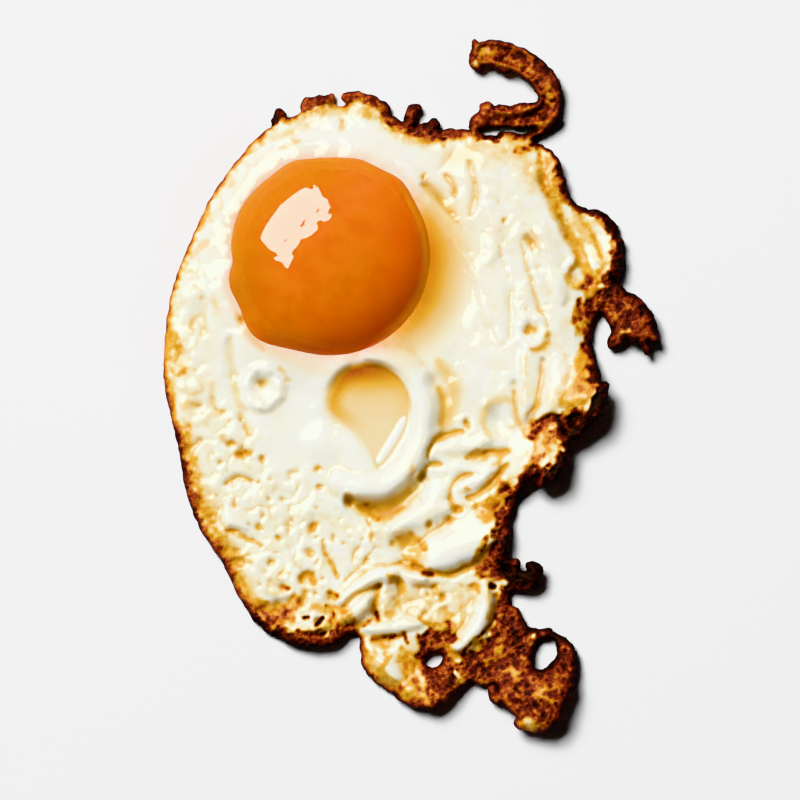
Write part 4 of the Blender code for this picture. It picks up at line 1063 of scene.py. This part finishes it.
def sheet_mesh(sheet, layers):
    """One closed mesh: the fine top, a plainer underside that shares its rim, and the wall between."""
    cells = kept_cells(layers["outside"])
    used = np.zeros(sheet.x.shape, bool)
    for i in (0, 1):
        for j in (0, 1):
            used[i : i + cells.shape[0], j : j + cells.shape[1]] |= cells
    number = np.full(sheet.x.shape, -1)
    number[used] = np.arange(used.sum())
    corners = number[:-1, :-1], number[:-1, 1:], number[1:, 1:], number[1:, :-1]
    top_faces = np.stack(corners, axis=-1)[cells]
    sides = rim_sides(cells, corners)
    rim_numbers = np.unique(sides)
    rim = np.zeros(sheet.x.shape, bool)
    rim[used] = np.isin(np.arange(used.sum()), rim_numbers)
    x, y = settled_places(sheet, layers["outside"], used, rim)
    x, y = x[used], y[used]
    top = np.column_stack([x, y, sheet.sample(layers["top"], x, y)])
    low_rim = tucked_rim(sheet, layers, x[rim_numbers], y[rim_numbers])
    inner = np.zeros(used.shape, bool)
    inner[::UNDERSIDE_GRID, ::UNDERSIDE_GRID] = True
    inner &= used & (layers["depth"] > UNDERSIDE_INSET)
    x, y = sheet.x[inner], sheet.y[inner]
    x = x + 0.3 * ripple(x, y, 2.0, 61)
    low_inner = np.column_stack([x, y, underside(x, y, sheet.sample(layers["depth"], x, y))])
    squares = np.concatenate([np.argwhere(rim), np.argwhere(inner)])[:, ::-1].astype(float)
    place = {n: k for k, n in enumerate(rim_numbers)}
    low_faces = underside_faces(squares, [(place[p], place[q]) for p, q in sides], cells)
    first = len(top)
    faces = [tuple(face) for face in top_faces]
    faces += [(q, p, first + place[p], first + place[q]) for p, q in sides]
    faces += [tuple(first + n for n in face) for face in low_faces]
    return np.concatenate([top, low_rim, low_inner]), faces, first


def underside(x, y, depth):
    """The height of the fried underside: flat on the plate, with shallow craters where steam was caught."""
    craters = bump(bubbles(x, y, 6, 62)[0], 0.5) * 0.5 + bump(bubbles(x, y, 3.4, 63)[0], 0.4) * 0.3
    return draw_lift(x, y) + craters * smoothstep(1.2, 4, depth)


def underside_faces(squares, edges, cells):
    """Triangles that fill the rim from below, leaving the holes open. Places are counted in grid squares."""
    places = [Vector(place) for place in squares]
    found = delaunay_2d_cdt(places, edges, [], 1, 1e-7, True)
    points, triangles, origins = found[0], found[2], found[3]
    if len(points) != len(places):
        raise RuntimeError("the rim of the white crosses itself")
    source = [origin[0] for origin in origins]
    walls = {frozenset(edge) for edge in edges}
    triangles = [tuple(source[n] for n in triangle) for triangle in triangles]
    sides = {}
    for k, (a, b, c) in enumerate(triangles):
        for side in ((a, b), (b, c), (c, a)):
            sides.setdefault(frozenset(side), []).append(k)
    region = [-1] * len(triangles)
    votes = []
    for start in range(len(triangles)):
        if region[start] >= 0:
            continue
        region[start] = len(votes)
        votes.append(0)
        waiting = [start]
        while waiting:
            k = waiting.pop()
            a, b, c = triangles[k]
            over, down = (squares[a] + squares[b] + squares[c]) / 3
            votes[-1] += 1 if cells[int(down), int(over)] else -1
            for side in (frozenset((a, b)), frozenset((b, c)), frozenset((c, a))):
                if side in walls:
                    continue
                for other in sides[side]:
                    if region[other] < 0:
                        region[other] = region[start]
                        waiting.append(other)
    kept = []
    for k, (a, b, c) in enumerate(triangles):
        if votes[region[k]] > 0:
            ab, ac = squares[b] - squares[a], squares[c] - squares[a]
            kept.append((a, c, b) if ab[0] * ac[1] > ab[1] * ac[0] else (a, b, c))
    return kept


def new_piece(name, points, faces, shift):
    """A smooth-shaded piece from points in millimetres."""
    mesh = bpy.data.meshes.new(name)
    mesh.from_pydata([tuple(p) for p in (points * MM + shift).tolist()], [], faces)
    mesh.validate()
    mesh.shade_smooth()
    piece = bpy.data.objects.new(name, mesh)
    bpy.context.scene.collection.objects.link(piece)
    return piece


def give_values(piece, name, values):
    attribute = piece.data.attributes.new(name, "FLOAT", "POINT")
    attribute.data.foreach_set("value", np.asarray(values, np.float32))


def make_white(shift):
    """The set white with its browned edge."""
    sheet = Drawing()
    layers = draw_white(sheet)
    points, faces, first_low = sheet_mesh(sheet, layers)
    white = new_piece("fried_white", points, faces, shift)
    x, y = points[:, 0], points[:, 1]
    low = np.arange(len(points)) >= first_low
    above = {name: sheet.sample(layers[name], x, y) for name in ("browning_and_painted_light", "gel", "glow", "crust")}
    depth = sheet.sample(layers["depth"], x, y)
    lace = 0.36 + 0.14 * ripple(x, y, 6, 71) + 0.12 * (1 - 2 * bubbles(x, y, 3, 72)[0])
    fried = np.maximum(np.clip(lace, 0.2, 0.62), (lace + 0.3) * smoothstep(9, 3, depth))
    fried = np.maximum(fried, above["browning_and_painted_light"] * smoothstep(3, 0, depth))
    below = {"browning_and_painted_light": fried, "gel": 0, "glow": 0, "crust": np.maximum(above["crust"], 0.3)}
    for name, values in above.items():
        give_values(white, name, np.where(low, below[name], values))
    white.data.materials.append(white_material())
    return white


def make_yolk(shift):
    """The yolk, with the small dents that its skin has."""
    points, faces = [], []
    count = YOLK_SEGMENTS
    for ring in range(1, YOLK_RINGS):
        tilt = math.pi * ring / YOLK_RINGS
        around, z = math.sin(tilt), math.cos(tilt)
        angle = np.arange(count) * math.tau / count
        bulge = max(1 - max(z, 0) / YOLK_BULGE_TOP, 0) ** 1.5
        settle = 1 if z > 0 else 1 + 0.04 * z
        radius = yolk_reach(angle, bulge) * settle * around**YOLK_SQUARENESS
        tall = YOLK_RISE if z > 0 else YOLK_DROP
        height = YOLK_WIDEST_Z + tall * math.copysign(abs(z) ** YOLK_SQUARENESS, z)
        points += [(r * math.cos(t), r * math.sin(t), height) for r, t in zip(radius, angle)]
    points = [(0, 0, YOLK_WIDEST_Z + YOLK_RISE)] + points + [(0, 0, YOLK_WIDEST_Z - YOLK_DROP)]
    last = len(points) - 1
    for k in range(count):
        after = (k + 1) % count
        faces.append((0, 1 + k, 1 + after))
        faces.append((last, last - count + after, last - count + k))
        for ring in range(YOLK_RINGS - 2):
            low = 1 + ring * count
            faces.append((low + k, low + count + k, low + count + after, low + after))
    points = np.array(points)
    x, y = points[:, 0], points[:, 1]
    upper = smoothstep(YOLK_WIDEST_Z, YOLK_WIDEST_Z + 3, points[:, 2])
    points[:, 2] += upper * YOLK_WAVINESS * ripple(x, y, 6, 81)
    crinkle = ripple(x, y, 2.5, 82) + 0.3 * ripple(x, y, 1.3, 83)
    for marks, reach, rough in SKIN_DENTS:
        away, _ = distance_along(x, y, smooth_line([plan(*mark) for mark in marks]))
        points[:, 2] += upper * bump(away, reach * UNIT) * rough * crinkle
    yolk = new_piece("yolk", points, faces, shift)
    yolk.visible_shadow = False
    angle = np.arctan2(y, x)
    give_values(yolk, "outwards", np.hypot(x, y) / yolk_reach(angle))
    # The side away from the light, where the yolk's painted shade lies.
    give_values(yolk, "away_from_light", np.cos(angle - YOLK_PAINTED_SHADE_SIDE))
    give_values(yolk, "meniscus", np.cos(angle - YOLK_FILM_SIDE))
    yolk.data.materials.append(yolk_material())
    return yolk


class Shading:
    """A few short ways to add nodes to a material or a node group."""

    def __init__(self, tree):
        self.tree = tree

    def add(self, kind, inputs=None, **settings):
        node = self.tree.nodes.new(kind)
        for key, value in settings.items():
            setattr(node, key, value)
        for key, value in (inputs or {}).items():
            self.feed(node.inputs[key], value)
        return node

    def feed(self, socket, value):
        if isinstance(value, bpy.types.NodeSocket):
            self.tree.links.new(value, socket)
        else:
            socket.default_value = value

    def value(self, name):
        return self.add("ShaderNodeAttribute", attribute_name=name).outputs["Fac"]

    def math(self, operation, a, b=0.0, clamp=False):
        return self.add("ShaderNodeMath", {0: a, 1: b}, operation=operation, use_clamp=clamp).outputs[0]

    def rescale(self, value, low, high, to_low=0.0, to_high=1.0):
        inputs = {"Value": value, "From Min": low, "From Max": high, "To Min": to_low, "To Max": to_high}
        return self.add("ShaderNodeMapRange", inputs, interpolation_type="SMOOTHSTEP").outputs[0]

    def mix(self, share, a, b, blend="MIX"):
        node = self.add("ShaderNodeMix", data_type="RGBA", blend_type=blend)
        self.feed(node.inputs[0], share)
        self.feed(node.inputs[6], a)
        self.feed(node.inputs[7], b)
        return node.outputs[2]

    def noise(self, scale, detail=2.0, rough=0.5):
        place = self.add("ShaderNodeTexCoord").outputs["Object"]
        inputs = {"Vector": place, "Scale": scale, "Detail": detail, "Roughness": rough}
        return self.add("ShaderNodeTexNoise", inputs).outputs["Fac"]

    def ramp(self, value, stops):
        node = self.add("ShaderNodeValToRGB", {"Fac": value})
        ramp = node.color_ramp
        while len(ramp.elements) < len(stops):
            ramp.elements.new(0.5)
        for element, (position, colour) in zip(ramp.elements, stops):
            element.position = position
            element.color = colour
        return node.outputs["Color"]


def tone(red, green, blue):
    """A screen colour from 0 to 255 as the light values that shaders take."""
    def light(level):
        level /= 255
        return level / 12.92 if level <= 0.04045 else ((level + 0.055) / 1.055) ** 2.4

    return light(red), light(green), light(blue), 1.0


# The colour of egg white at each level of browning.
FRYING = [
    (0.00, tone(239, 240, 234)), (0.10, tone(238, 231, 208)), (0.20, tone(234, 210, 158)),
    (0.30, tone(222, 178, 80)), (0.42, tone(196, 134, 40)), (0.54, tone(162, 78, 40)),
    (0.66, tone(120, 43, 30)), (0.78, tone(78, 24, 18)), (0.90, tone(38, 11, 8)), (1.00, tone(12, 4, 3)),
]
# Painted light: the pink glow that light through the yolk throws on the white beside it.
PAINTED_YOLK_GLOW_TINT = tone(252, 212, 178)

# The yolk's colours: its mottled middle; painted shade on the side away from the light and painted
# light on the side towards it; its clear film, painted brighter with the light caught in it; and a
# painted shade line along its edge.
YOLK_AMBER = tone(208, 108, 0)
YOLK_GOLDEN = tone(216, 119, 0)
YOLK_PAINTED_SHADE = tone(231, 97, 0)
YOLK_PAINTED_LIGHT = tone(183, 106, 0)
YOLK_FILM_PAINTED_GLEAM = tone(250, 143, 28)
YOLK_PAINTED_EDGE_SHADE = tone(150, 52, 0)


def frying_group():
    """The colour of egg white as it fries, with the fine mottling that its crust has."""
    if "frying" in bpy.data.node_groups:
        return bpy.data.node_groups["frying"]
    tree = bpy.data.node_groups.new("frying", "ShaderNodeTree")
    for name in ("Browning", "Crust", "Gel"):
        tree.interface.new_socket(name, in_out="INPUT", socket_type="NodeSocketFloat")
    tree.interface.new_socket("Color", in_out="OUTPUT", socket_type="NodeSocketColor")
    tree.interface.new_socket("Relief", in_out="OUTPUT", socket_type="NodeSocketFloat")
    make = Shading(tree)
    given = make.add("NodeGroupInput").outputs
    fine = make.noise(2700, 3, 0.7)
    coarse = make.noise(1100, 3, 0.65)
    milky = make.math("SUBTRACT", 1.0, given["Gel"])
    golden = make.math("MULTIPLY", make.rescale(given["Browning"], 0.12, 0.34, 0.03, 0.2), milky)
    spread = make.math("ADD", make.math("MULTIPLY", given["Crust"], 0.2), golden)
    grains = make.math("ADD", make.math("MULTIPLY", fine, 1.5), make.math("MULTIPLY", coarse, 0.5))
    mottle = make.math("MULTIPLY", make.math("SUBTRACT", grains, 1.0), spread)
    level = make.math("ADD", given["Browning"], mottle, clamp=True)
    rough = make.rescale(given["Crust"], 0, 1, 0.25, 1.0)
    relief = make.math("MULTIPLY", make.math("ADD", fine, coarse), rough)
    out = make.add("NodeGroupOutput")
    make.feed(out.inputs["Color"], make.ramp(level, FRYING))
    make.feed(out.inputs["Relief"], relief)
    return tree


def principled(material):
    """The material's own main shader."""
    material.use_nodes = True
    return material.node_tree.nodes["Principled BSDF"]


def white_material():
    """Egg white: wet and milky where it is pale, dry and dull where it has browned."""
    material = bpy.data.materials.new("set_white")
    shader = principled(material)
    make = Shading(material.node_tree)
    browning_and_painted_light, crust, gel = make.value("browning_and_painted_light"), make.value("crust"), make.value("gel")
    group = make.add("ShaderNodeGroup", node_tree=frying_group())
    for name, value in (("Browning", browning_and_painted_light), ("Crust", crust), ("Gel", gel)):
        make.feed(group.inputs[name], value)
    # Painted light: the yolk's glow tints the white beside it.
    painted_glow_share = make.math("MULTIPLY", make.value("glow"), 0.55)
    make.feed(shader.inputs["Base Color"], make.mix(painted_glow_share, group.outputs["Color"], PAINTED_YOLK_GLOW_TINT, "MULTIPLY"))
    make.feed(shader.inputs["Roughness"], make.rescale(crust, 0, 1, 0.35, 0.5))
    make.feed(shader.inputs["Coat Weight"], make.rescale(browning_and_painted_light, 0.12, 0.45, 0.95, 0.0))
    shader.inputs["Coat Roughness"].default_value = 0.07
    shader.inputs["Specular IOR Level"].default_value = 0.04
    milky = make.math("SUBTRACT", 1.0, gel)
    opaque = make.math("MULTIPLY", make.rescale(browning_and_painted_light, 0.18, 0.46), milky)
    make.feed(shader.inputs["Subsurface Weight"], make.rescale(opaque, 0, 1, 0.9, 0.06))
    shader.inputs["Subsurface Radius"].default_value = (1.0, 0.88, 0.72)
    shader.inputs["Subsurface Scale"].default_value = 0.004
    inputs = {"Height": group.outputs["Relief"], "Strength": 0.6, "Distance": 0.0003}
    make.feed(shader.inputs["Normal"], make.add("ShaderNodeBump", inputs).outputs["Normal"])
    return material


def yolk_material():
    """Runny yolk under a thin clear film."""
    material = bpy.data.materials.new("runny_yolk")
    shader = principled(material)
    make = Shading(material.node_tree)
    outwards = make.value("outwards")
    away_from_light = make.value("away_from_light")
    # Painted shade deepens the orange on the side away from the light; painted light gives a yellower orange
    # on the side towards it.
    depth = make.math("MULTIPLY", make.rescale(outwards, 0.25, 1.0), make.rescale(away_from_light, -0.2, 1.0))
    painted_lit_side = make.math("MULTIPLY", make.rescale(outwards, 0.4, 0.9), make.rescale(away_from_light, -0.05, -0.75))
    mottled = make.rescale(make.noise(260, 2, 0.5), 0.3, 0.7)
    # The clear film along the edge is real; its brighter band is painted light caught in it.
    film_side = make.rescale(make.value("meniscus"), 0.5, 0.85)
    painted_film_gleam = make.math("MULTIPLY", make.rescale(outwards, 0.9, 0.95), film_side)
    # Painted shade: a dark line along the yolk's edge, where it meets the white.
    line = make.rescale(outwards, 0.962, 0.995, 0, 0.4)
    colour = make.mix(mottled, YOLK_AMBER, YOLK_GOLDEN)
    for share, over in ((depth, YOLK_PAINTED_SHADE), (painted_lit_side, YOLK_PAINTED_LIGHT), (painted_film_gleam, YOLK_FILM_PAINTED_GLEAM), (line, YOLK_PAINTED_EDGE_SHADE)):
        colour = make.mix(share, colour, over)
    make.feed(shader.inputs["Base Color"], colour)
    shader.inputs["Roughness"].default_value = 0.2
    shader.inputs["Subsurface Weight"].default_value = 0.85
    shader.inputs["Subsurface Radius"].default_value = (1.0, 0.42, 0.06)
    shader.inputs["Subsurface Scale"].default_value = 0.012
    make.feed(shader.inputs["Coat Weight"], make.rescale(outwards, 0.77, 0.9, 0.9, 0.25))
    shader.inputs["Coat Roughness"].default_value = 0.02
    shader.inputs["Coat IOR"].default_value = 1.5
    shader.inputs["Specular IOR Level"].default_value = 0.0
    return material


def make_floor():
    """The pale floor that the egg lies on."""
    mesh = bpy.data.meshes.new("floor")
    turns = ((-1, -1), (1, -1), (1, 1), (-1, 1))
    mesh.from_pydata([(x * FLOOR_HALF, y * FLOOR_HALF, 0) for x, y in turns], [], [(0, 1, 2, 3)])
    floor = bpy.data.objects.new("floor", mesh)
    bpy.context.scene.collection.objects.link(floor)
    material = bpy.data.materials.new("pale_floor")
    shader = principled(material)
    shader.inputs["Base Color"].default_value = FLOOR_COLOUR
    shader.inputs["Roughness"].default_value = 0.9
    shader.inputs["Specular IOR Level"].default_value = 0.1
    mesh.materials.append(material)
    floor.location.z = -FLOOR_DROP
    return floor


def add_light(name, target, azimuth, elevation, distance, wide, tall, power):
    """A softbox that faces the target, with its width level."""
    data = bpy.data.lights.new(name, "AREA")
    data.shape = "RECTANGLE"
    data.size = wide
    data.size_y = tall
    data.energy = power
    lamp = bpy.data.objects.new(name, data)
    bpy.context.scene.collection.objects.link(lamp)
    a, e = math.radians(azimuth), math.radians(elevation)
    towards = Vector((math.cos(e) * math.cos(a), math.cos(e) * math.sin(a), math.sin(e)))
    side = Vector((-math.sin(a), math.cos(a), 0))
    up = towards.cross(side)
    turn = Matrix((side, up, towards)).transposed().to_4x4()
    lamp.matrix_world = Matrix.Translation(target + towards * distance) @ turn
    return lamp


def light_and_camera(shift):
    """The softboxes, the soft glow of the studio, and the camera that looks straight down."""
    scene = bpy.context.scene
    scene.view_settings.view_transform = "Khronos PBR Neutral"
    world = bpy.data.worlds.new("studio")
    scene.world = world
    world.use_nodes = True
    background = world.node_tree.nodes["Background"]
    background.inputs["Color"].default_value = (1, 1, 1, 1)
    background.inputs["Strength"].default_value = STUDIO_GLOW
    middle = Vector(shift) + Vector((0, -0.01, 0.01))
    key = add_light("key_softbox", middle, *KEY_SOFTBOX)
    key.visible_glossy = False
    sheen = add_light("sheen_softbox", middle, *SHEEN_SOFTBOX)
    sheen.visible_diffuse = False
    sheen.data.color = SHEEN_TINT
    x, y = plan(*CAMERA_OVER)
    data = bpy.data.cameras.new("camera")
    data.sensor_width = SENSOR_WIDTH
    data.lens = SENSOR_WIDTH * CAMERA_HEIGHT / VIEW_WIDTH
    data.clip_end = 10
    camera = bpy.data.objects.new("camera", data)
    camera.location = Vector(shift) + Vector((x * MM, y * MM, CAMERA_HEIGHT))
    scene.collection.objects.link(camera)
    scene.camera = camera


def drawing_shift():
    """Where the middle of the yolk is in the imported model's frame, at plate level."""
    _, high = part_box("egg_yolk")
    angle = np.radians(np.arange(0, 360, 0.5))
    reach = yolk_reach(angle, corners=[])
    right, back = (reach * np.cos(angle)).max(), (reach * np.sin(angle)).max()
    return Vector((high.x - right * MM, high.y - back * MM, 0))


def main():
    """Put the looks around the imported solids."""
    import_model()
    shift = drawing_shift()
    white = make_white(np.array(shift))
    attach(white, "root")
    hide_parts("egg_white")
    yolk = make_yolk(np.array(shift))
    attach(yolk, "root")
    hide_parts("egg_yolk")
    make_floor()
    light_and_camera(shift)


main()
